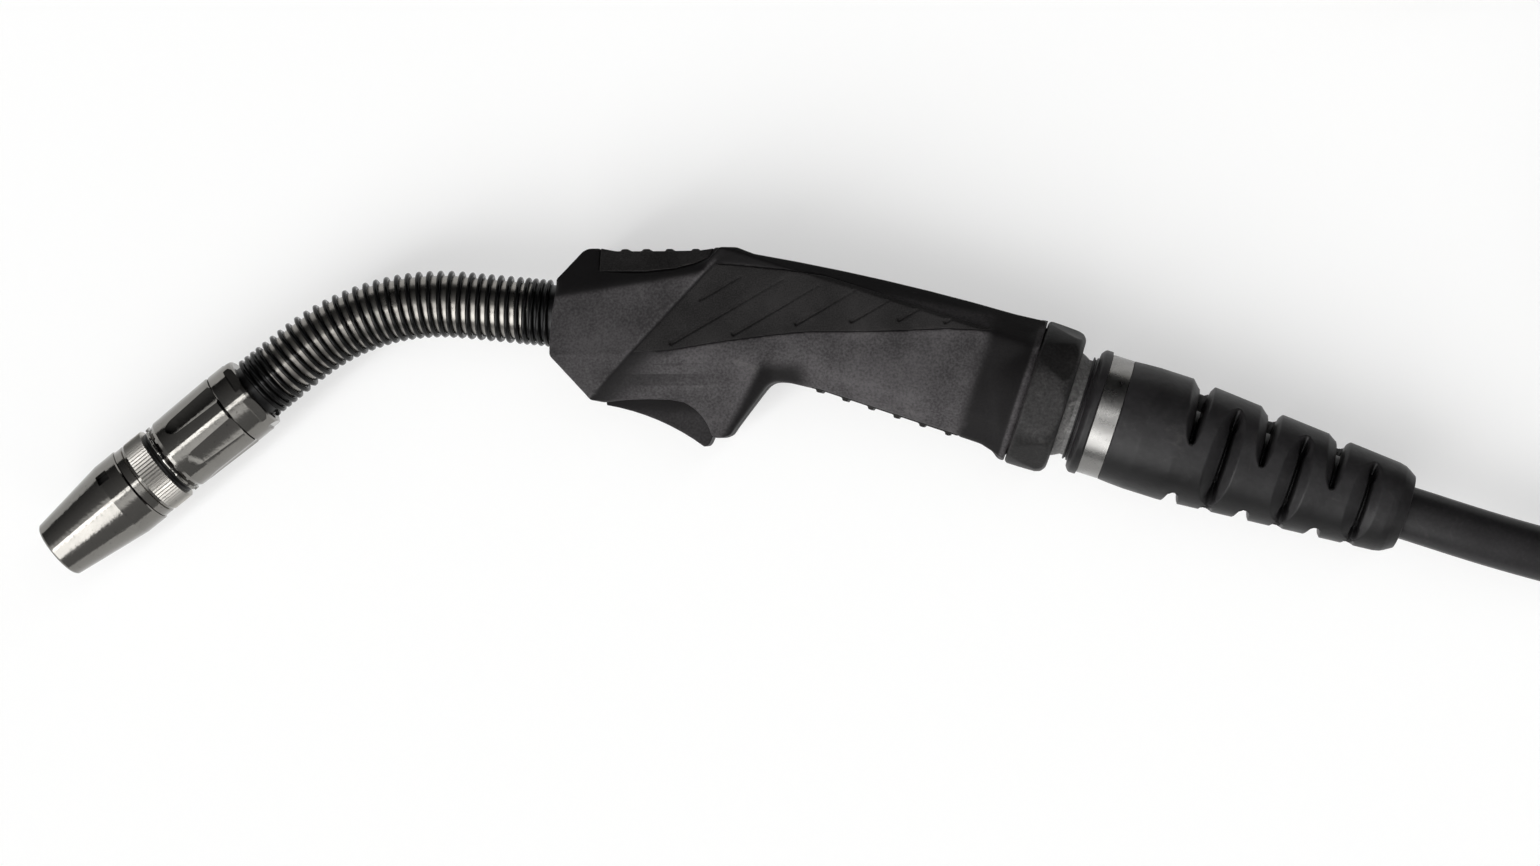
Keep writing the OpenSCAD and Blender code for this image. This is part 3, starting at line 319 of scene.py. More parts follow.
# %% Metals
TIP_DROP = math.radians(38.5)
TAIL_DROP = math.radians(17.82)
tip_way = Vector((-math.cos(TIP_DROP), -math.sin(TIP_DROP), 0))
tail_way = Vector((math.cos(TAIL_DROP), -math.sin(TAIL_DROP), 0))
plug_way = Vector((-1, 0, 0))
screw_way = Vector((0, 0, 1))
# Polished plate over turned brass: dark and bright bands side by side, slightly warm.
nickel = turned("nickel_plated_brass_turned", "7e7c78", tip_way, rough=0.1, smudge=0.07, stipple=10)
# The knurl's plate is painted paler and satin: a painted highlight for the light its many small ridges catch.
knurl_nickel_painted_glint = turned("nickel_plated_brass_knurled", "c4c1bb", tip_way, rough=0.32, smudge=0.1)
# Bare copper and brass show only inside the nozzle and at the plug: a warm gleam in the dark.
copper = turned("copper_alloy_turned", "c77f5e", tip_way, rough=0.28)
brass = turned("brass_turned", "c2a25c", plug_way, rough=0.25)
# Drawing leaves slow, soft waves: the tube shines between the spring's curls as a broken line.
neck_steel = turned("stainless_tube_drawn", "8b8883", tip_way, rough=0.26, ring=3, depth=0.01, smudge=0.1)
# Spring wire is a duller grey. The liner lies hidden in the neck, so it needs no more than that.
liner_steel = turned("spring_steel_drawn", "8f8f90", tip_way, rough=0.35)
# Zinc plate is a soft, cool grey.
screw_steel = turned("steel_zinc_plated", "a8a8a6", screw_way, rough=0.3)
# A belt gives the strip fine lines round the boot, which smear its highlight along the boot.
band_steel = turned(
    "stainless_strip_brushed", "82817f", tail_way, rough=0.22, ring=0.5, depth=0.008, smudge=0.14
)
print("metal finishes:", nickel.name, copper.name, brass.name, neck_steel.name, band_steel.name)

# %% [markdown]
# ## The smaller finishes
# The rest is wire, rings, leads and seals. Plain moulded, fired or extruded stock differs only in
# tone, grain and gloss, so the moulded finish serves them all, with a grain that is again coarser than
# the real one. Lacquered wire and blasted metal are painted or dull enough to look like plastics, so
# they are made that way too.

# %% Other finishes
# Gloss lacquer on wire: black, with one thin bright line along each curl.
lacquer = moulded(
    "spring_wire_lacquered", "080808", "2a2929", grain=0.3, depth=0.004, rough=0.17, scuffed=0.3, shine=0.15
)
# Neoprene jacket: black and even, with a soft sheen along its side.
cable_skin = moulded(
    "neoprene_cable_jacket", "212021", "3c3a3a", grain=1.2, rough=0.45, shine=0.2, speckled=0.2
)
# Blasted aluminium: grey and gritty, with no clear reflection.
blasted = moulded("aluminium_shot_blasted", "646362", "a09e9c", grain=1.1, depth=0.3, rough=0.55, scuffed=0.9)
# Phenolic resin is a hard brown-black with a faint gloss, fired alumina a chalky ivory.
phenolic = moulded("phenolic_ring_turned", "1a1919", "3a3836", grain=0.5, depth=0.01, rough=0.4)
alumina = moulded("alumina_ceramic_fired", "d8d2c6", "b9b2a4", grain=0.5, depth=0.01)
# Unfilled nylon is a waxy cream, PVC a smooth red.
sleeve_nylon = moulded("insulating_sleeve_nylon", "cfc6b2", "a59c88", grain=0.6, depth=0.01)
red_pvc = moulded("pvc_lead_red", "a5231d", "7d1a16", grain=0.6, depth=0.01, rough=0.4)
# Nitrile and shrunk sleeving are smooth blacks that show as a thin soft highlight.
nitrile = moulded("nitrile_seal", "171717", "2c2b2b", grain=0.5, depth=0.005, rough=0.35)
sleeve_black = moulded("polyolefin_sleeve_shrunk", "0e0e0f", "262526", grain=0.9, depth=0.02, rough=0.35)
# Woven strap: dull, with a grain as deep as its threads and a little fuzz in grazing light.
strap_weave = moulded(
    "nylon_strap_woven", "1d1d1f", "3a3a3c", grain=0.7, depth=0.12, rough=0.75, sheen=0.2
)
print("finishes in all:", len(bpy.data.materials))

# %% [markdown]
# ## Power cable
# A 3 m cable set leaves about 2.9 m of free cable. It comes straight out of the boot, sinks to the
# bench, and is wound for storage into two layers of two and a quarter turns. A mesh tube or a
# simulation could make it, but a curve with a round bevel needs just one open line and one radius,
# and the turns can be written as a formula. The straps hold the cable up by their own thickness, so
# its lowest turns lie a millimetre off the bench.

# %% Cable route
CABLE_R = 9.0
CABLE_LOW = 10.0  # height of its middle in the coil's lower layer
CABLE_HIGH = 28.4  # and in the upper one
RUN_LOW, RUN_HIGH = 8.6, 25.0  # heights of the run's last and first point below
COIL_LEVEL, PLUG_Z = 27.1, 24.2  # and of the tail's: both routes are stretched to meet the coil
run_route = [
    (230, -34.08, 25), (239.5, -37.13, 25), (248.6, -40.08, 24.6), (258.6, -43.18, 23.6),
    (268.6, -46.08, 22.2), (279.6, -49.08, 20.2), (290.6, -51.78, 18), (302.6, -54.28, 15.6),
    (314.6, -56.48, 13.4), (327.6, -58.28, 11.4), (340.6, -59.48, 9.8), (354.6, -60.08, 8.9),
    (368.6, -60.18, 8.6), (380.6, -60.18, 8.6), (392.6, -60.18, 8.6),
]
tail_route = [
    (392.6, 171.62, 27.1), (387.6, 171.62, 27.1), (380.6, 171.62, 26.6), (373.6, 171.62, 25.7),
    (366.6, 171.62, 24.8), (360.6, 171.62, 24.3), (356.6, 171.62, 24.2), (342.6, 171.62, 24.2),
]
run_fall = (RUN_HIGH - CABLE_LOW) / (RUN_HIGH - RUN_LOW)
tail_rise = (CABLE_HIGH - PLUG_Z) / (COIL_LEVEL - PLUG_Z)
run_points = [(x, y, CABLE_LOW + (z - RUN_LOW) * run_fall) for x, y, z in run_route]
tail_points = [(x, y, PLUG_Z + (z - PLUG_Z) * tail_rise) for x, y, z in tail_route]
print("points of the run and the tail:", len(run_points), len(tail_points))

# %% Coil of the cable
COIL_AT = Vector((410.6, 55.72, 0))
COIL_FIRST_R = 115.925  # radius of the outermost turn's middle
COIL_STEP = 18.6  # from one turn to the next, just over the cable's own width
LAYER_TURNS = 2.25
COIL_TURNS = 2 * LAYER_TURNS
CLIMB_TURNS = 0.5  # in which it climbs to the upper layer
STEPS_PER_TURN = 64


def coil_radius(t):
    """Radius of the cable's middle after t turns: inwards in the lower layer, outwards in the upper."""
    return COIL_FIRST_R - COIL_STEP * (t if t < LAYER_TURNS else COIL_TURNS - t)


def coil_place(t):
    """Place of the cable's middle after t turns."""
    rise = min(max((t - LAYER_TURNS + CLIMB_TURNS / 2) / CLIMB_TURNS, 0), 1)
    z = CABLE_LOW + (CABLE_HIGH - CABLE_LOW) * (1 - math.cos(math.pi * rise)) / 2
    angle = 2 * math.pi * t - math.pi / 2
    return COIL_AT + Vector((coil_radius(t) * math.cos(angle), coil_radius(t) * math.sin(angle), z))


def smooth_route(points, cuts=4):
    """Catmull-Rom points through a route, with `cuts` steps between each two of its points."""
    knots = [Vector(p) for p in points]
    knots = [2 * knots[0] - knots[1]] + knots + [2 * knots[-1] - knots[-2]]
    route = []
    for a, b, c, d in zip(knots, knots[1:], knots[2:], knots[3:]):
        for k in range(cuts):
            t = k / cuts
            square = (2 * a - 5 * b + 4 * c - d) * t**2
            cube = (3 * b - a - 3 * c + d) * t**3
            route.append(0.5 * (2 * b + (c - a) * t + square + cube))
    return route + [knots[-2]]


coil_points = [coil_place(k / STEPS_PER_TURN) for k in range(round(COIL_TURNS * STEPS_PER_TURN) + 1)]
cable_route = smooth_route(run_points) + coil_points + smooth_route(tail_points)

# %% Cable
def wire_curve(name, points, radius, roundness, material):
    """A round wire along points in millimetres, as one open curve with that bevel resolution."""
    curve = bpy.data.curves.new(name, "CURVE")
    curve.dimensions = "3D"
    curve.bevel_depth = radius * MM
    curve.bevel_resolution = roundness
    curve.use_fill_caps = True
    spline = curve.splines.new("POLY")
    spline.points.add(len(points) - 1)
    for spot, point in zip(spline.points, points):
        spot.co = (*(Vector(point) * MM), 1)
    spline.use_smooth = True
    curve.materials.append(material)
    piece = bpy.data.objects.new(name, curve)
    bpy.context.scene.collection.objects.link(piece)
    return piece


cable = wire_curve("power_cable", cable_route, CABLE_R, 6, cable_skin)
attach(cable, "tail")
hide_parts("cable_run", "cable_coil", "cable_tail")
print("cable radius:", CABLE_R, "mm")

# %% [markdown]
# ## Straps round the coil
# Three woven straps hold the turns. Each is drawn as a loop of cross-sections that follows a rounded
# box round the bundle. A cloth simulation would be slower and no better, because a tight strap's thin,
# even thickness and soft corners are its whole look.

# %% Mesh helpers
def new_piece(name, points, faces, material, smooth=True):
    """A mesh piece from points in millimetres."""
    mesh = bpy.data.meshes.new(name)
    mesh.from_pydata([tuple(Vector(p) * MM) for p in points], [], faces)
    mesh.polygons.foreach_set("use_smooth", [smooth] * len(mesh.polygons))
    mesh.materials.append(material)
    mesh.validate()
    piece = bpy.data.objects.new(name, mesh)
    bpy.context.scene.collection.objects.link(piece)
    return piece


def rounded_box(low, high, corner, steps=8):
    """A closed line round the box from low to high, with rounded corners."""
    x0, x1, z0, z1 = low[0] + corner, high[0] - corner, low[1] + corner, high[1] - corner
    line = []
    for x, z, start in ((x1, z1, 0), (x0, z1, 90), (x0, z0, 180), (x1, z0, 270)):
        for k in range(steps + 1):
            a = math.radians(start + 90 * k / steps)
            line.append((x + corner * math.cos(a), z + corner * math.sin(a)))
    return line


print("points round a box:", len(rounded_box((0, 0), (2, 2), 1)))

# %% Shape of a strap
STRAP_W = 20.0
STRAP_T = 1.0
STRAP_CORNER = 8.0
STRAP_EDGE = 0.8  # width of its rounded selvedge
STRAP_BEVEL = 0.3  # and of the slope at its very edge
ROOM_INSIDE, ROOM_OUTSIDE, ROOM_ABOVE = 1.2, 0.6, 0.2  # between cable and strap


def strap_mesh(share):
    """Points and faces of one strap at that share of a turn."""
    reach = [coil_radius(share + k) for k in range(math.ceil(COIL_TURNS)) if share + k <= COIL_TURNS]
    low = (min(reach) - CABLE_R - ROOM_INSIDE, STRAP_T)
    high = (max(reach) + CABLE_R + ROOM_OUTSIDE, CABLE_HIGH + CABLE_R + ROOM_ABOVE)
    inner = rounded_box(low, high, STRAP_CORNER)
    outer = rounded_box([v - STRAP_T for v in low], [v + STRAP_T for v in high], STRAP_CORNER + STRAP_T)
    turn = Matrix.Rotation(2 * math.pi * share - math.pi / 2, 4, "Z")
    edge = STRAP_W / 2
    rings = [
        (inner, -edge), (outer, STRAP_BEVEL - edge), (outer, STRAP_EDGE - edge),
        (outer, edge - STRAP_EDGE), (outer, edge - STRAP_BEVEL), (inner, edge),
    ]
    points = [COIL_AT + turn @ Vector((x, y, z)) for line, y in rings for x, z in line]
    n, faces = len(inner), []
    for k in range(len(rings)):
        for i in range(n):
            j, m = (i + 1) % n, (k + 1) % len(rings)
            faces.append((k * n + i, k * n + j, m * n + j, m * n + i))
    return points, faces


print("strap:", STRAP_W, "mm wide and", STRAP_T, "mm thick")

# %% Straps
STRAP_SHARES = (0.2, 0.62, 0.88)  # where the straps sit, as shares of a turn
strap_points, strap_faces = [], []
for share in STRAP_SHARES:
    points, faces = strap_mesh(share)
    strap_faces += [tuple(i + len(strap_points) for i in f) for f in faces]
    strap_points += points
straps = new_piece("coil_straps", strap_points, strap_faces, strap_weave)
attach(straps, "tail")
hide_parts("coil_ties")
print("straps:", len(STRAP_SHARES), "with", len(strap_faces), "faces")

# %% [markdown]

# %% [markdown]
# ## Neck spring
# A lacquered wire spring is wound round the bent neck: four close curls at each end, open ones
# between. A screw modifier would make a straight spring, which then has to be bent. Here the path
# walks along the neck's centreline and round it at once, so the pitch comes out right on the bend,
# tighter inside and wider outside.

# %% Neck's centreline
NECK_RISE = math.radians(5.5)
NECK_RUN = 31.5
NECK_BEND_R = 77.0
TIP_RUN = 20.7
NECK_R = 9.5
BENCH_Z = 25.0  # height of the torch's middle plane above the bench
handle_front = Vector((-56, 32.92, 0))
neck_arc = NECK_RUN + NECK_BEND_R * (TIP_DROP + NECK_RISE) + TIP_RUN


def neck_point(u):
    """Place and inward direction of the neck's centreline, u millimetres from the handle."""
    def heading(a):
        return Vector((-math.cos(a), -math.sin(a), 0))

    def inward(a):
        return Vector((math.sin(a), -math.cos(a), 0))

    bend_start = handle_front + NECK_RUN * heading(-NECK_RISE)
    bend_middle = bend_start + NECK_BEND_R * inward(-NECK_RISE)
    if u < NECK_RUN:
        return handle_front + u * heading(-NECK_RISE), inward(-NECK_RISE)
    if u < neck_arc - TIP_RUN:
        a = -NECK_RISE + (u - NECK_RUN) / NECK_BEND_R
        return bend_middle - NECK_BEND_R * inward(a), inward(a)
    bend_end = bend_middle - NECK_BEND_R * inward(TIP_DROP)
    return bend_end + (u - neck_arc + TIP_RUN) * heading(TIP_DROP), inward(TIP_DROP)


print("neck:", round(neck_arc, 1), "mm along its middle")

# %% Spring
SPRING_WIRE = 1.7
SPRING_CURLS = 35
CLOSE_CURLS = 4
CLOSE_GAP = 0.75  # between two close curls
SPRING_ROOM, SPRING_END_ROOM = 0.25, 0.2  # between the wire and the tube, and before its first curl
STEPS_PER_CURL = 24
SPRING_R = NECK_R + SPRING_ROOM + SPRING_WIRE / 2
spring_first = SPRING_WIRE / 2 + SPRING_END_ROOM
spring_length = neck_arc - 2 * spring_first
close_pitch = SPRING_WIRE + CLOSE_GAP
open_pitch = (spring_length - 2 * CLOSE_CURLS * close_pitch) / (SPRING_CURLS - 2 * CLOSE_CURLS)


def spring_walk(n):
    """Distance along the neck after n curls."""
    if n < CLOSE_CURLS:
        return n * close_pitch
    if n < SPRING_CURLS - CLOSE_CURLS:
        return CLOSE_CURLS * close_pitch + (n - CLOSE_CURLS) * open_pitch
    return spring_length - (SPRING_CURLS - n) * close_pitch


spring_points = []
for k in range(SPRING_CURLS * STEPS_PER_CURL + 1):
    middle, inward = neck_point(spring_first + spring_walk(k / STEPS_PER_CURL))
    turn = 2 * math.pi * k / STEPS_PER_CURL
    height = Vector((0, 0, BENCH_Z + SPRING_R * math.sin(turn)))
    spring_points.append(middle + SPRING_R * math.cos(turn) * inward + height)
spring = wire_curve("neck_spring_wire", spring_points, SPRING_WIRE / 2, 3, lacquer)
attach(spring, "torch")
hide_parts("neck_spring")
print("spring: open pitch", round(open_pitch, 2), "mm,", len(spring_points), "points")

# %% [markdown]
# ## Sleeves, lock ring and liner
# Under the close curls a black shrink sleeve holds the spring's ends to the tube, so no bright metal
# shows there. In the dark groove behind the knurl lies a lock ring with square notches, which catch
# the light one by one. A black sleeve inside the nozzle is painted shade: its windows open on it and
# read dark. Bent cylinders would do for the sleeves but not for the notches, so one helper draws a skin
# through any row of cross-sections, and all of them use it.

# %% Sleeves
SLEEVE_WALL = 0.2
SLEEVE_R = NECK_R + SLEEVE_WALL
SLEEVE_L = 9.0
SLEEVE_TUCK = 1.0  # how far the rear one reaches into the handle
SLEEVE_STEPS = 10
UP = Vector((0, 0, 1))


def round_skin(name, sections, material, sides=48):
    """A skin through rings: each section is its centre, two unit directions across, and a radius."""
    points, faces = [], []
    for centre, across, other, radius in sections:
        for k in range(sides):
            a = math.tau * k / sides
            r = radius(a) if callable(radius) else radius
            points.append(centre + r * (math.cos(a) * across + math.sin(a) * other))
    for i in range(len(sections) - 1):
        for k in range(sides):
            m = (k + 1) % sides
            faces.append((i * sides + k, i * sides + m, (i + 1) * sides + m, (i + 1) * sides + k))
    return new_piece(name, points, faces, material)


for name, start in (("spring_sleeve_rear", -SLEEVE_TUCK), ("spring_sleeve_front", neck_arc - SLEEVE_L)):
    sections = []
    for k in range(SLEEVE_STEPS + 1):
        middle, inward = neck_point(start + SLEEVE_L * k / SLEEVE_STEPS)
        sections.append((middle + BENCH_Z * UP, inward, UP, SLEEVE_R))
    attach(round_skin(name, sections, sleeve_black), "torch")
print("sleeves:", SLEEVE_L, "mm long")

# %% Lock ring and liner
tip_at, tip_inward = neck_point(neck_arc)
RING_FROM, RING_TO = 36.75, 37.75
RING_FOOT, NOTCH_R, TOOTH_R = 12.2, 12.75, 13.3
RING_SLOPE = 0.1  # length of its front edge's slope
RING_NOTCHES = 12
NOTCH_SHARE = 0.3
LINER_FROM, LINER_TO, LINER_R = 55.50, 63.40, 12.3


def notched(a):
    """Radius of the lock ring at an angle: a square notch between each two of its teeth."""
    return NOTCH_R if (a * RING_NOTCHES / math.tau) % 1 < NOTCH_SHARE else TOOTH_R


def tip_section(z, radius):
    """A cross-section z millimetres in front of the neck's end."""
    return tip_at + z * tip_way + BENCH_Z * UP, tip_inward, UP, radius


ring_outline = (
    (RING_FROM, RING_FOOT), (RING_FROM, notched), (RING_TO - RING_SLOPE, notched), (RING_TO, RING_FOOT)
)
ring_sections = [tip_section(z, radius) for z, radius in ring_outline]
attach(round_skin("shoulder_lock_ring", ring_sections, nickel, sides=240), "torch")
# painted shade: a black sleeve inside the nozzle, so that its windows read dark
liner_sections = [tip_section(z, LINER_R) for z in (LINER_FROM, LINER_TO)]
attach(round_skin("nozzle_shade_liner", liner_sections, sleeve_black, sides=96), "torch")
print("lock ring:", RING_NOTCHES, "notches; nozzle liner:", round(LINER_TO - LINER_FROM, 1), "mm long")

# %% [markdown]
# ## Soft-edged mouldings
# A moulded shell has no knife edges: every corner has a round of half a millimetre or more. The
# solids have sharp ones. A bevel modifier often fails on long thin faces, so each shell is made again:
# a voxel remesh gives it an even skin of small squares, which smoothing can wear down evenly, as
# polishing a mould does. Thin plates can be melted in at the same time, for a lip or a rib that wraps
# over an edge.

# %% Even skin
FINE, COARSE = 0.35, 0.5  # millimetres across one square of a small moulding's skin, and of a large one's
WELD = 0.002  # points of a solid this close are made one


def apply_modifiers(piece):
    """Puts the evaluated mesh in place of the piece's own, and drops its modifiers."""
    view = bpy.context.evaluated_depsgraph_get()
    done = bpy.data.meshes.new_from_object(piece.evaluated_get(view))
    old, piece.data = piece.data, done
    piece.modifiers.clear()
    bpy.data.meshes.remove(old)


def add_plate(builder, outline, low, high):
    """Adds a flat plate with that outline, between two heights in millimetres."""
    base = [builder.verts.new((*(Vector(p) * MM), low * MM)) for p in outline]
    lid = [builder.verts.new((*(Vector(p) * MM), high * MM)) for p in outline]
    builder.faces.new(base[::-1])
    builder.faces.new(lid)
    for k in range(len(base)):
        m = (k + 1) % len(base)
        builder.faces.new((base[k], base[m], lid[m], lid[k]))
    bmesh.ops.recalc_face_normals(builder, faces=builder.faces)


def even_skin(name, nodes, voxel, plates):
    """One mesh object round the given solids and plates, with faces of about `voxel` millimetres."""
    builder = bmesh.new()
    for node in nodes:
        builder.from_mesh(parts[node].data)
    for outline, low, high in plates:
        add_plate(builder, outline, low, high)
    bmesh.ops.remove_doubles(builder, verts=builder.verts, dist=WELD * MM)
    mesh = bpy.data.meshes.new(name)
    builder.to_mesh(mesh)
    builder.free()
    if "custom_normal" in mesh.attributes:
        mesh.attributes.remove(mesh.attributes["custom_normal"])
    piece = bpy.data.objects.new(name, mesh)
    bpy.context.scene.collection.objects.link(piece)
    skin = piece.modifiers.new("skin", "REMESH")
    skin.mode = "VOXEL"
    skin.voxel_size = voxel * MM
    apply_modifiers(piece)
    return piece


print("squares of the skins:", FINE, "and", COARSE, "mm")

# %% [markdown]
# ## Wearing the edges down
# Blender's own smooth modifier shrinks a piece. Taubin's way pulls each point to the middle of its
# neighbours and then pushes it back a little less, so that corners round off and sizes stay. Where a
# moulding flows from one face into the next, as over the trigger guard, plain pulls alone make the
# blend as wide as it is on the real shell. Flat faces then need few triangles, and a decimate modifier
# drops the rest.

# %% Wearing helper
FLOW_PASSES = 45
KEPT_FACES = 0.5


def mesh_points(piece):
    """The piece's points in millimetres, as an array."""
    co = np.empty(3 * len(piece.data.vertices))
    piece.data.vertices.foreach_get("co", co)
    return co.reshape(-1, 3) / MM


def worn(piece, passes, share=None, pulls=(0.6, -0.52)):
    """Rounds of smoothing that shrink little: each pass pulls in, then pushes back a bit less."""
    points = mesh_points(piece)
    edges = np.empty(2 * len(piece.data.edges), int)
    piece.data.edges.foreach_get("vertices", edges)
    a, b = edges.reshape(-1, 2).T
    n = len(points)
    count = np.bincount(np.concatenate([a, b]), minlength=n)[:, None]
    weight = 1 if share is None else share(points)[:, None]
    for _ in range(passes):
        for pull in pulls:
            total = np.empty_like(points)
            for axis in range(3):
                total[:, axis] = np.bincount(a, points[b, axis], n) + np.bincount(b, points[a, axis], n)
            points = points + pull * weight * (total / count - points)
    piece.data.vertices.foreach_set("co", (points * MM).ravel())
    piece.data.update()


def soft_piece(name, nodes, voxel, passes, material, body, flowing=None, plates=()):
    """A soft-edged piece that stands for the given solids, with wider rounds where it is flowing."""
    piece = even_skin(name, nodes, voxel, plates)
    if flowing:
        worn(piece, FLOW_PASSES, flowing, pulls=(0.6,))
    worn(piece, passes)
    fewer = piece.modifiers.new("fewer", "DECIMATE")
    fewer.ratio = KEPT_FACES
    apply_modifiers(piece)
    piece.data.polygons.foreach_set("use_smooth", [True] * len(piece.data.polygons))
    piece.data.materials.clear()
    piece.data.materials.append(material)
    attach(piece, body)
    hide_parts(*nodes)
    return piece


print("passes where a shell flows:", FLOW_PASSES, "and share of faces kept:", KEPT_FACES)

# %% [markdown]
# ## Painted shade on the handle
# Shade is painted into the handle's colour: it is darker along its top, which faces away from the key,
# behind the step, under the guard and in the flare at the nut. Painting that by hand would tie it to
# one mesh, so it is worked out for each point from its place and the way it faces. A line in the side
# view splits two zones, and a soft step blends across it. All places here are in millimetres from the
# handle's front.

# %% Zones of the handle
STEP_FOOT, STEP_WAY = np.array([14.0, -28.4]), np.array([0.6846, 0.7289])
RAMP_TOP, RAMP_WAY = np.array([76.0, -14.0]), np.array([-0.31, -0.95])
CREASE_AT, CREASE_WAY = np.array([19.5, 8.5]), np.array([0.9877, 0.1564])
SPINE_AT, SPINE_WAY = np.array([61.4, 16.9]), np.array([0.9813, -0.1927])
GUARD_AT, GUARD_WAY = np.array([71.6, -17.9]), np.array([-0.4775, -0.8787])
REAR_AT = np.array([160.0, -26.5])


def from_handle(points):
    """Points in the handle's own frame: along, up, and out of its middle plane."""
    return points - np.array([*handle_front.xy, BENCH_Z])


def beside(points, at, way):
    """Distances along and to the right of a line in the handle's side view."""
    x, y = points[:, 0] - at[0], points[:, 1] - at[1]
    return x * way[0] + y * way[1], x * way[1] - y * way[0]


def soft_step(low, high, x):
    """0 below low, 1 above high, smooth between."""
    t = np.clip((x - low) / (high - low), 0, 1)
    return t * t * (3 - 2 * t)


def flare_share(points):
    """Share of the rear flare, which ends just before the nut's seam."""
    along, _ = beside(points, REAR_AT, np.array(tail_way)[:2])
    return soft_step(-20, -15, along) * (1 - soft_step(-2.6, -1.6, along))


def paint_shade(piece, how_dark):
    """Writes the painted shade of each point, from its place and normal in the handle's own frame."""
    normals = np.empty(3 * len(piece.data.vertices))
    piece.data.vertices.foreach_get("normal", normals)
    shares = np.clip(how_dark(from_handle(mesh_points(piece)), normals.reshape(-1, 3)), 0, 1)
    layer = piece.data.attributes.new("painted_shade", "FLOAT", "POINT")
    layer.data.foreach_set("value", shares.astype(np.float32))


print("zones: step, ramp, crease, spine, guard and flare")

# %% [markdown]
# ## Handle shells
# Two half shells of nylon meet in the middle. One function gives the painted shade, with a share for each
# zone, and the shares are combined so that none can pass 1. Another says where the shell flows: down
# the guard's ramp, in the rear flare, along the crease of the nose and over the guard. The seam's own
# edge, near the middle plane, is left crisp.

# %% Shells
def shell_painted_shade(points, normals):
    """Painted shade on the shells: darker along the top, behind the step, behind the guard and in the rear
    flare.
    """
    _, across = beside(points, STEP_FOOT, STEP_WAY)
    _, under_crease = beside(points, CREASE_AT, CREASE_WAY)
    _, under_spine = beside(points, SPINE_AT, SPINE_WAY)
    _, before_guard = beside(points, GUARD_AT, GUARD_WAY)
    on_nose = 1 - soft_step(-1.5, 0, across)
    above_crease = on_nose * soft_step(-2.2, -0.2, -under_crease)
    above = above_crease + (1 - on_nose) * soft_step(-2.0, 0.5, -under_spine)
    top = (0.55 + 0.37 * np.maximum(on_nose, above)) * soft_step(0.12, 0.6, normals[:, 1])
    behind_step = soft_step(-0.3, 0.6, across) * (1 - soft_step(1.0, 13, across))
    low_part = soft_step(15, 20.5, -points[:, 1]) * (1 - soft_step(82, 90, points[:, 0]))
    guard = soft_step(-1.5, 1.5, -before_guard) * low_part
    flare = flare_share(points)
    # painted shade: one share for each zone
    shade_shares = (0.94 * above, top, 0.95 * behind_step, 0.92 * guard, 0.93 * flare, 0.28 * on_nose)
    return 1 - np.prod([1 - share for share in shade_shares], axis=0)


def shell_flow(points):
    """The shells flow softly over the guard, in the rear flare and along the nose's upper crease."""
    own = from_handle(points)
    out = np.abs(own[:, 2])
    _, across = beside(own, STEP_FOOT, STEP_WAY)
    down, off = beside(own, RAMP_TOP, RAMP_WAY)
    _, below = beside(own, CREASE_AT, CREASE_WAY)
    ramp = soft_step(-6, 3, down) * (1 - soft_step(2, 7, np.abs(off)))
    flare = 0.9 * flare_share(own) * soft_step(15, 17, out)
    crease = (1 - soft_step(2.5, 4.5, np.abs(below + 0.5))) * (across < -3)
    guard = soft_step(1, 4, across) * soft_step(12, 14, -own[:, 1]) * soft_step(10.5, 12, out)
    return np.clip(ramp + flare + crease + guard, 0, 1) * soft_step(3, 5, out)


for side in ("left", "right"):
    shell = soft_piece(
        "handle_shell_" + side, ["handle_" + side], COARSE, 8, nylon, "torch", flowing=shell_flow
    )
    paint_shade(shell, shell_painted_shade)
    print(shell.name + ":", len(shell.data.polygons), "faces")

# %% [markdown]
# ## Pads, trigger and nut
# The smaller mouldings are made the same way. Each inlay's rubber climbs on to the step in a thin lip,
# and the thumb pad's four ribs wrap down over its edge. Both are plates with an outline in the side
# view: cheaper than modelling them on the solid, and the remesh melts them in.

# %% Plates
def on_handle(outline):
    """A side-view outline, given in millimetres from the handle's front, in the scene's own place."""
    return [Vector(p) + handle_front.xy for p in outline]


LIP_OUTLINE = (
    (28.8, -13.7), (31.5, -10.8), (55.2, 14.4), (56.8, 16.0), (59.0, 15.4), (58.6, 11.6), (35.4, -12.7),
    (35.4, -13.1),
)
LIP_LOW, LIP_HIGH = 18.6, 19.5  # how far the lip stands out of the middle plane
RIB_AT = (25.7, 32.9, 40.7, 49.5)
RIB_FOOT = 16
RIB_STEPS = ((20.6, 13.2), (19.8, 13.8), (19.0, 14.4), (18.2, 14.9))  # height and half width of its steps
lips = {
    "left": (on_handle(LIP_OUTLINE), BENCH_Z + LIP_LOW, BENCH_Z + LIP_HIGH),
    "right": (on_handle(LIP_OUTLINE), BENCH_Z - LIP_HIGH, BENCH_Z - LIP_LOW),
}
rib_plates = []
for x in RIB_AT:
    for top, half in RIB_STEPS:
        outline = on_handle(((x - 1, RIB_FOOT), (x + 1, RIB_FOOT), (x + 1, top), (x - 1, top)))
        rib_plates.append((outline, BENCH_Z - half, BENCH_Z + half))
print("plates:", len(lips), "lips and", len(rib_plates), "rib steps")

# %% Pads, trigger and nut
def nut_painted_shade(points, normals):
    """Painted shade on the nut: darker on its flanks that face up and down."""
    return 0.8 * soft_step(0.15, 0.7, normals[:, 1]) + 0.6 * soft_step(0.2, 0.8, -normals[:, 1])


def trigger_painted_shade(points, normals):
    """Painted shade on the trigger: darker all over, and darkest towards its top, under the guard's edge."""
    return 0.58 + 0.35 * soft_step(-36, -31, points[:, 1])


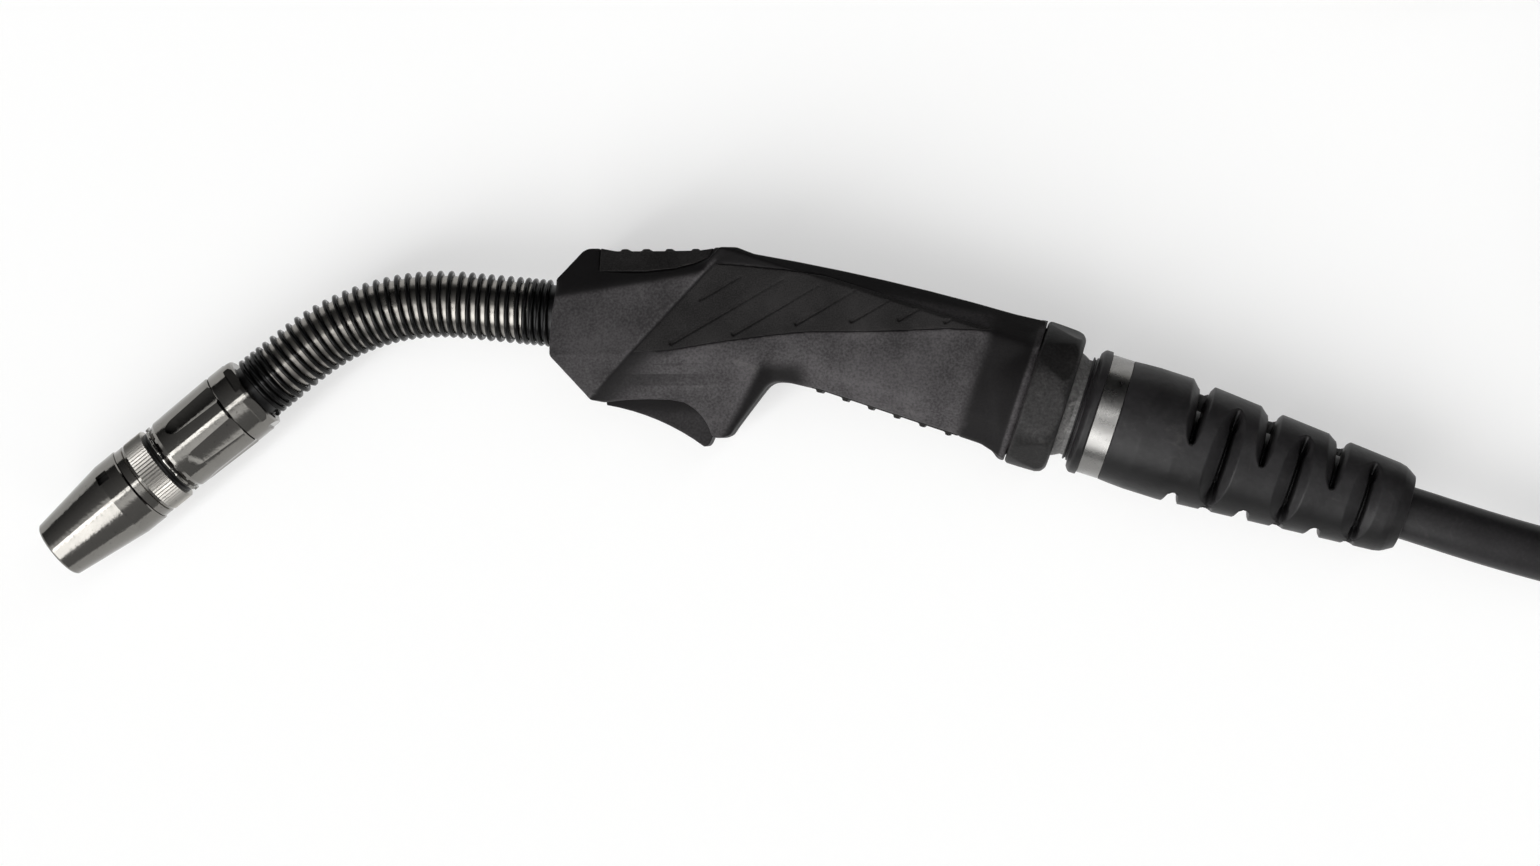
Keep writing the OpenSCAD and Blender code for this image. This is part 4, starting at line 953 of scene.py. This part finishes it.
pads = []
for name, node, passes, plates in (
    ("inlay_pad_left", "inlay_left", 3, [lips["left"]]),
    ("inlay_pad_right", "inlay_right", 3, [lips["right"]]),
    ("thumb_pad_ribbed", "thumb_pad", 4, rib_plates),
    ("finger_pad_ribbed", "finger_strip", 5, []),
):
    pads.append(soft_piece(name, [node], FINE, passes, grip_rubber, "torch", plates=plates))
lever = soft_piece("trigger_lever", ["trigger"], FINE, 6, nylon, "trigger")
paint_shade(lever, trigger_painted_shade)
nut = soft_piece("locking_nut", ["lock_nut"], COARSE, 6, nut_nylon, "torch")
paint_shade(nut, nut_painted_shade)
relief = soft_piece("connector_relief", ["connector_boot"], COARSE, 5, boot_rubber, "tail")
print("faces:", {p.name: len(p.data.polygons) for p in [*pads, lever, nut, relief]})

# %% [markdown]
# ## Slotted boot
# The rubber boot bends because pairs of slots are cut into it from both sides, each pair turned a
# quarter from the next. Cutting them with booleans would leave sharp lips that rubber never has. So
# the skin is one grid, with rows along the cable and columns round it, and each slot presses the grid
# inwards: all the way at its slit, and a third of the way on its flanks, a wide one towards the handle
# and a narrower one towards the cable.

# %% Boot outline and slots
BOOT_PROFILE = [
    (18.4, 16.65), (18.4, 17.8), (18.9, 17.9), (19.1, 17.2), (19.5, 17.2), (19.7, 18.0), (20.2, 18.0),
    (20.4, 19.9), (21.4, 21.2), (22.0, 21.5), (24.0, 21.5), (24.2, 21.3), (24.2, 20.1), (31.9, 20.1),
    (31.9, 20.7), (36, 21.0), (41.0, 21.25), (53.0, 21.2), (126.3, 15.4), (128.5, 14.9), (130.0, 14.1),
    (132.35, 12.6), (132.35, 9.05),
]
SLOT_FIRST = 57.1
SLOT_PITCH = 12.12
SLOT_COUNT = 6
SLOT_REACH = 9  # from the first slot's middle to where the plain boot ends
SLOT_CORE_R = 11.2
# Each slot: its middle and half length in degrees, its slit's half width at both ends in millimetres,
# and the reach of its flanks towards the handle and towards the cable.
UPRIGHT_SLOTS = [(60, 58, 0.5, 1.5, 3.4, 1.4), (-122, 60, 1.5, 0.9, 1.6, 1.2)]
LEVEL_SLOTS = [
    (-6, 54, 0.6, 0.5, 4.6, 3.2), (174, 54, 0.6, 0.6, 4.6, 3.2), (-86, 16, 0.8, 0.8, 0.8, 0.8),
    (36, 5, 0.9, 0.9, 0.6, 0.6), (-50, 5, 0.9, 0.9, 0.6, 0.6),
]
FLANK_DEPTH = 0.34  # share of a slit's depth that its flanks have
LIP = 0.5  # millimetres over which a slit's edge rounds off
SLOT_SHADE = 1.6  # how fast the painted shade deepens as a slot presses the skin in
COLUMNS = 288
ROW_STEP = 0.32


def profile_rows():
    """Stations and radii along the boot's outline, about ROW_STEP millimetres apart."""
    rows = []
    for (s0, r0), (s1, r1) in zip(BOOT_PROFILE, BOOT_PROFILE[1:]):
        n = max(1, round(math.hypot(s1 - s0, r1 - r0) / ROW_STEP))
        rows += [(s0 + (s1 - s0) * k / n, r0 + (r1 - r0) * k / n) for k in range(n)]
    return rows + [BOOT_PROFILE[-1]]


rows = np.array(profile_rows())
print("boot grid:", len(rows), "rows of", COLUMNS)

# %% Boot skin
def slot_press(s, turn, radius, middle, slot):
    """How far a slot presses the skin in: 1 in its slit, less on its flanks, 0 outside."""
    centre, half, slit_low, slit_high, left, right = slot
    along = ((turn - centre + 180) % 360 - 180) / half
    over = np.maximum(np.abs(along) - 1, 0) * math.radians(half) * radius
    slit = slit_low + (slit_high - slit_low) * np.clip((along + 1) / 2, 0, 1)
    away = np.hypot(s - middle, over)
    core = np.clip((slit + LIP - away) / LIP, 0, 1)
    swell = np.sqrt(np.clip(1 - along**2, 0, 1))
    reach = slit + LIP + np.where(s < middle, left, right) * swell
    flank = np.clip(1 - (away - slit) / (reach - slit), 0, 1)
    return np.maximum(core, FLANK_DEPTH * flank)


turns = np.arange(COLUMNS) * 360 / COLUMNS
station, angle = np.meshgrid(rows[:, 0], turns, indexing="ij")
radius = np.repeat(rows[:, 1][:, None], COLUMNS, 1)
press = np.zeros_like(radius)
for k in range(SLOT_COUNT):
    for slot in LEVEL_SLOTS if k % 2 else UPRIGHT_SLOTS:
        press = np.maximum(press, slot_press(station, angle, radius, SLOT_FIRST + SLOT_PITCH * k, slot))
in_slots = (station > SLOT_FIRST - SLOT_REACH) & (station < SLOT_FIRST + SLOT_PITCH * SLOT_COUNT)
radius = np.where(in_slots, radius - press * np.maximum(radius - SLOT_CORE_R, 0), radius)
print("radius in the slots:", round(float(radius[in_slots].min()), 1), "mm")

# %% Boot
handle_rear = np.array([104, 6.42, BENCH_Z])
tail_up = np.array([math.sin(TAIL_DROP), math.cos(TAIL_DROP), 0])
spin = np.radians(angle)
boot_points = (
    handle_rear + station[..., None] * np.array(tail_way) + (radius * np.sin(spin))[..., None] * tail_up
    + (radius * np.cos(spin))[..., None] * np.array(UP)
).reshape(-1, 3)
boot_faces = []
for i in range(len(rows) - 1):
    low, high = i * COLUMNS, (i + 1) * COLUMNS
    for j in range(COLUMNS):
        m = (j + 1) % COLUMNS
        boot_faces.append((low + j, low + m, high + m, high + j))
boot = new_piece("bend_relief_boot", boot_points, boot_faces, boot_rubber)
worn(boot, 2)
pressed = np.where(in_slots, press, 0).ravel()


def boot_painted_shade(points, normals):
    """Painted shade on the boot: darker in its slots and along its top."""
    in_slot = np.clip(SLOT_SHADE * pressed, 0, 1)
    return 1 - (1 - in_slot) * (1 - 0.85 * soft_step(0.1, 0.7, normals[:, 1]))


paint_shade(boot, boot_painted_shade)
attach(boot, "tail")
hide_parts("cable_boot")
print("boot:", len(rows), "rows,", len(boot_faces), "faces")

# %% [markdown]
# ## Finishes on the hard parts
# The turned, stamped and machined parts are hard-edged in reality too, so they keep their solids,
# whose normals are exact, and take their metal finishes here. So do the parts inside.

# %% Hand out the finishes
finish_of = {
    nickel: ["gas_nozzle", "nozzle_seat", "fluted_body", "neck_collar"],
    knurl_nickel_painted_glint: ["knurled_ring"],
    phenolic: ["insulating_ring"],
    copper: ["contact_tip", "conductor_tube"],
    brass: ["tip_holder", "cable_block", "connector_plug", "contact_pin_a", "contact_pin_b", "liner_nut"],
    alumina: ["gas_diffuser"],
    neck_steel: ["neck_tube"],
    sleeve_nylon: ["neck_insulation"],
    liner_steel: ["wire_liner"],
    screw_steel: ["handle_screws", "trigger_pin"],
    cable_skin: ["handle_cable", "cable_core"],
    nut_nylon: ["switch_body", "connector_grip", "hand_nut"],
    red_pvc: ["switch_plunger", "switch_leads"],
    blasted: ["swivel_ball"],
    band_steel: ["band_clamp"],
    nitrile: ["plug_seal"],
}
for material, nodes in finish_of.items():
    for node in nodes:
        parts[node].data.materials.clear()
        parts[node].data.materials.append(material)
print("finished solids:", sum(len(nodes) for nodes in finish_of.values()))

# %% [markdown]
# ## Bench
# The torch lies on a white laminate bench. Plain white would throw so much light back up that a black
# handle looks grey, and brighter lamps would make it worse. So the laminate is a mid grey for the
# light that it passes on, and near white for the eye and for what shiny metal reflects. Half of that
# white is its own glow, so that the bench is even, and the other half still takes the shadow.

# %% Bench
BENCH_HALF = 6000  # millimetres: far enough to fill every view
GLOW_SHARE = 0.5
bench_finish = bpy.data.materials.new("bench_white_laminate")
bench_finish.use_nodes = True
bench_tree = bench_finish.node_tree
laminate = bench_tree.nodes["Principled BSDF"]
laminate.inputs["Roughness"].default_value = 0.9
laminate.inputs["Specular IOR Level"].default_value = 0.1
ray = add(bench_tree, "ShaderNodeLightPath")
seen_or_mirrored = add(
    bench_tree, "ShaderNodeMath", {0: ray.outputs["Is Camera Ray"], 1: ray.outputs["Is Glossy Ray"]},
    operation="ADD",
)
seen = add(
    bench_tree, "ShaderNodeMath", {0: seen_or_mirrored.outputs[0], 1: ray.outputs["Is Transmission Ray"]},
    operation="ADD", use_clamp=True,
)
bench_tone = add(
    bench_tree, "ShaderNodeMix", {"Factor": seen.outputs[0], 6: paint("a8a8a8"), 7: paint("fafaf9")},
    data_type="RGBA",
)
bench_tree.links.new(bench_tone.outputs[2], laminate.inputs["Base Color"])
glow = add(bench_tree, "ShaderNodeEmission", {"Strength": 1.0})
glow_seen = add(bench_tree, "ShaderNodeMath", {0: seen.outputs[0], 1: GLOW_SHARE}, operation="MULTIPLY")
bench_mix = add(
    bench_tree, "ShaderNodeMixShader",
    {"Fac": glow_seen.outputs[0], 1: laminate.outputs[0], 2: glow.outputs[0]},
)
bench_tree.links.new(bench_mix.outputs[0], bench_tree.nodes["Material Output"].inputs["Surface"])
corners = [(x * BENCH_HALF, y * BENCH_HALF, 0) for x, y in ((-1, -1), (1, -1), (1, 1), (-1, 1))]
bench = new_piece("bench", corners, [(0, 1, 2, 3)], bench_finish, smooth=False)
print("bench:", 2 * BENCH_HALF / 1000, "m square")

# %% [markdown]
# ## Key light
# One soft key light comes from the near left, so the handle's side, which faces up, is lit, and its
# top, which faces away, stays dark. An area lamp would be brighter at the nozzle than at the cable, so
# the key is a sun, with a disc of 45 degrees for soft shadows.

# %% Key light
KEY_WAY = Vector((-0.4, -0.64, 0.66))
KEY_STRENGTH = 1.95  # watts on each square metre
KEY_DISC = math.radians(45)
key_data = bpy.data.lights.new("key_softbox", "SUN")
key_data.energy = KEY_STRENGTH
key_data.angle = KEY_DISC
key = bpy.data.objects.new("key_softbox", key_data)
key.rotation_euler = KEY_WAY.to_track_quat("Z", "Y").to_euler()
bpy.context.scene.collection.objects.link(key)
print("key light:", KEY_STRENGTH, "W/m2")

# %% [markdown]
# ## Studio around the bench
# The world is grey on the key's side and nearly black on the far side, which the plated parts reflect
# as dark flanks. Two bright strips cross it like long lamps overhead. The narrow one is in line with
# the nozzle and draws one long highlight along the plated parts. The wide one is in line with the
# cable and does the same for the band and the boot. Each strip is the set of directions at one
# distance from a plane, so a dot product finds it. The eye itself sees a white backdrop past the
# bench, through a second background that only camera rays reach.

# %% World
SKY_SIDE = (-0.2, -0.85, 0.45)  # the bright side of the sky
STRIP_BLUR = 0.06
STRIPS = [  # direction across the strip, its middle, half its width, and its strength
    ((math.sin(TIP_DROP), -math.cos(TIP_DROP), 0), -0.03, 0.025, 24),
    ((-math.sin(TAIL_DROP), -math.cos(TAIL_DROP), 0), 0.33, 0.08, 5),
]
world = bpy.data.worlds.new("studio")
world.use_nodes = True
bpy.context.scene.world = world
sky = world.node_tree
sky_way = add(sky, "ShaderNodeTexCoord").outputs["Generated"]
sky_side = add(sky, "ShaderNodeVectorMath", {0: sky_way, 1: SKY_SIDE}, operation="DOT_PRODUCT")
sky_level = add(
    sky, "ShaderNodeMapRange", {"Value": sky_side.outputs["Value"], "From Min": -0.5, "From Max": 0.8}
)
sky_tone = add(
    sky, "ShaderNodeMix", {"Factor": sky_level.outputs[0], 6: paint("0e0e0f"), 7: paint("969696")},
    data_type="RGBA",
)
strips = []
for across, strip_middle, half, strength in STRIPS:
    side = add(sky, "ShaderNodeVectorMath", {0: sky_way, 1: across}, operation="DOT_PRODUCT")
    off = add(sky, "ShaderNodeMath", {0: side.outputs["Value"], 1: strip_middle}, operation="SUBTRACT")
    away = add(sky, "ShaderNodeMath", {0: off.outputs[0]}, operation="ABSOLUTE")
    strips.append(add(
        sky, "ShaderNodeMapRange",
        {"Value": away.outputs[0], "From Min": half, "From Max": half + STRIP_BLUR,
         "To Min": strength, "To Max": 1},
    ))
brighter = add(
    sky, "ShaderNodeMath", {0: strips[0].outputs[0], 1: strips[1].outputs[0]}, operation="MAXIMUM"
)
studio = sky.nodes["Background"]
sky.links.new(sky_tone.outputs[2], studio.inputs["Color"])
sky.links.new(brighter.outputs[0], studio.inputs["Strength"])
backdrop = add(sky, "ShaderNodeBackground", {"Color": paint("fbfbfa"), "Strength": 1.0})
sky_ray = add(sky, "ShaderNodeLightPath")
sky_mix = add(
    sky, "ShaderNodeMixShader",
    {"Fac": sky_ray.outputs["Is Camera Ray"], 1: studio.outputs[0], 2: backdrop.outputs[0]},
)
sky.links.new(sky_mix.outputs[0], sky.nodes["World Output"].inputs["Surface"])
print("strip lights:", len(strips))
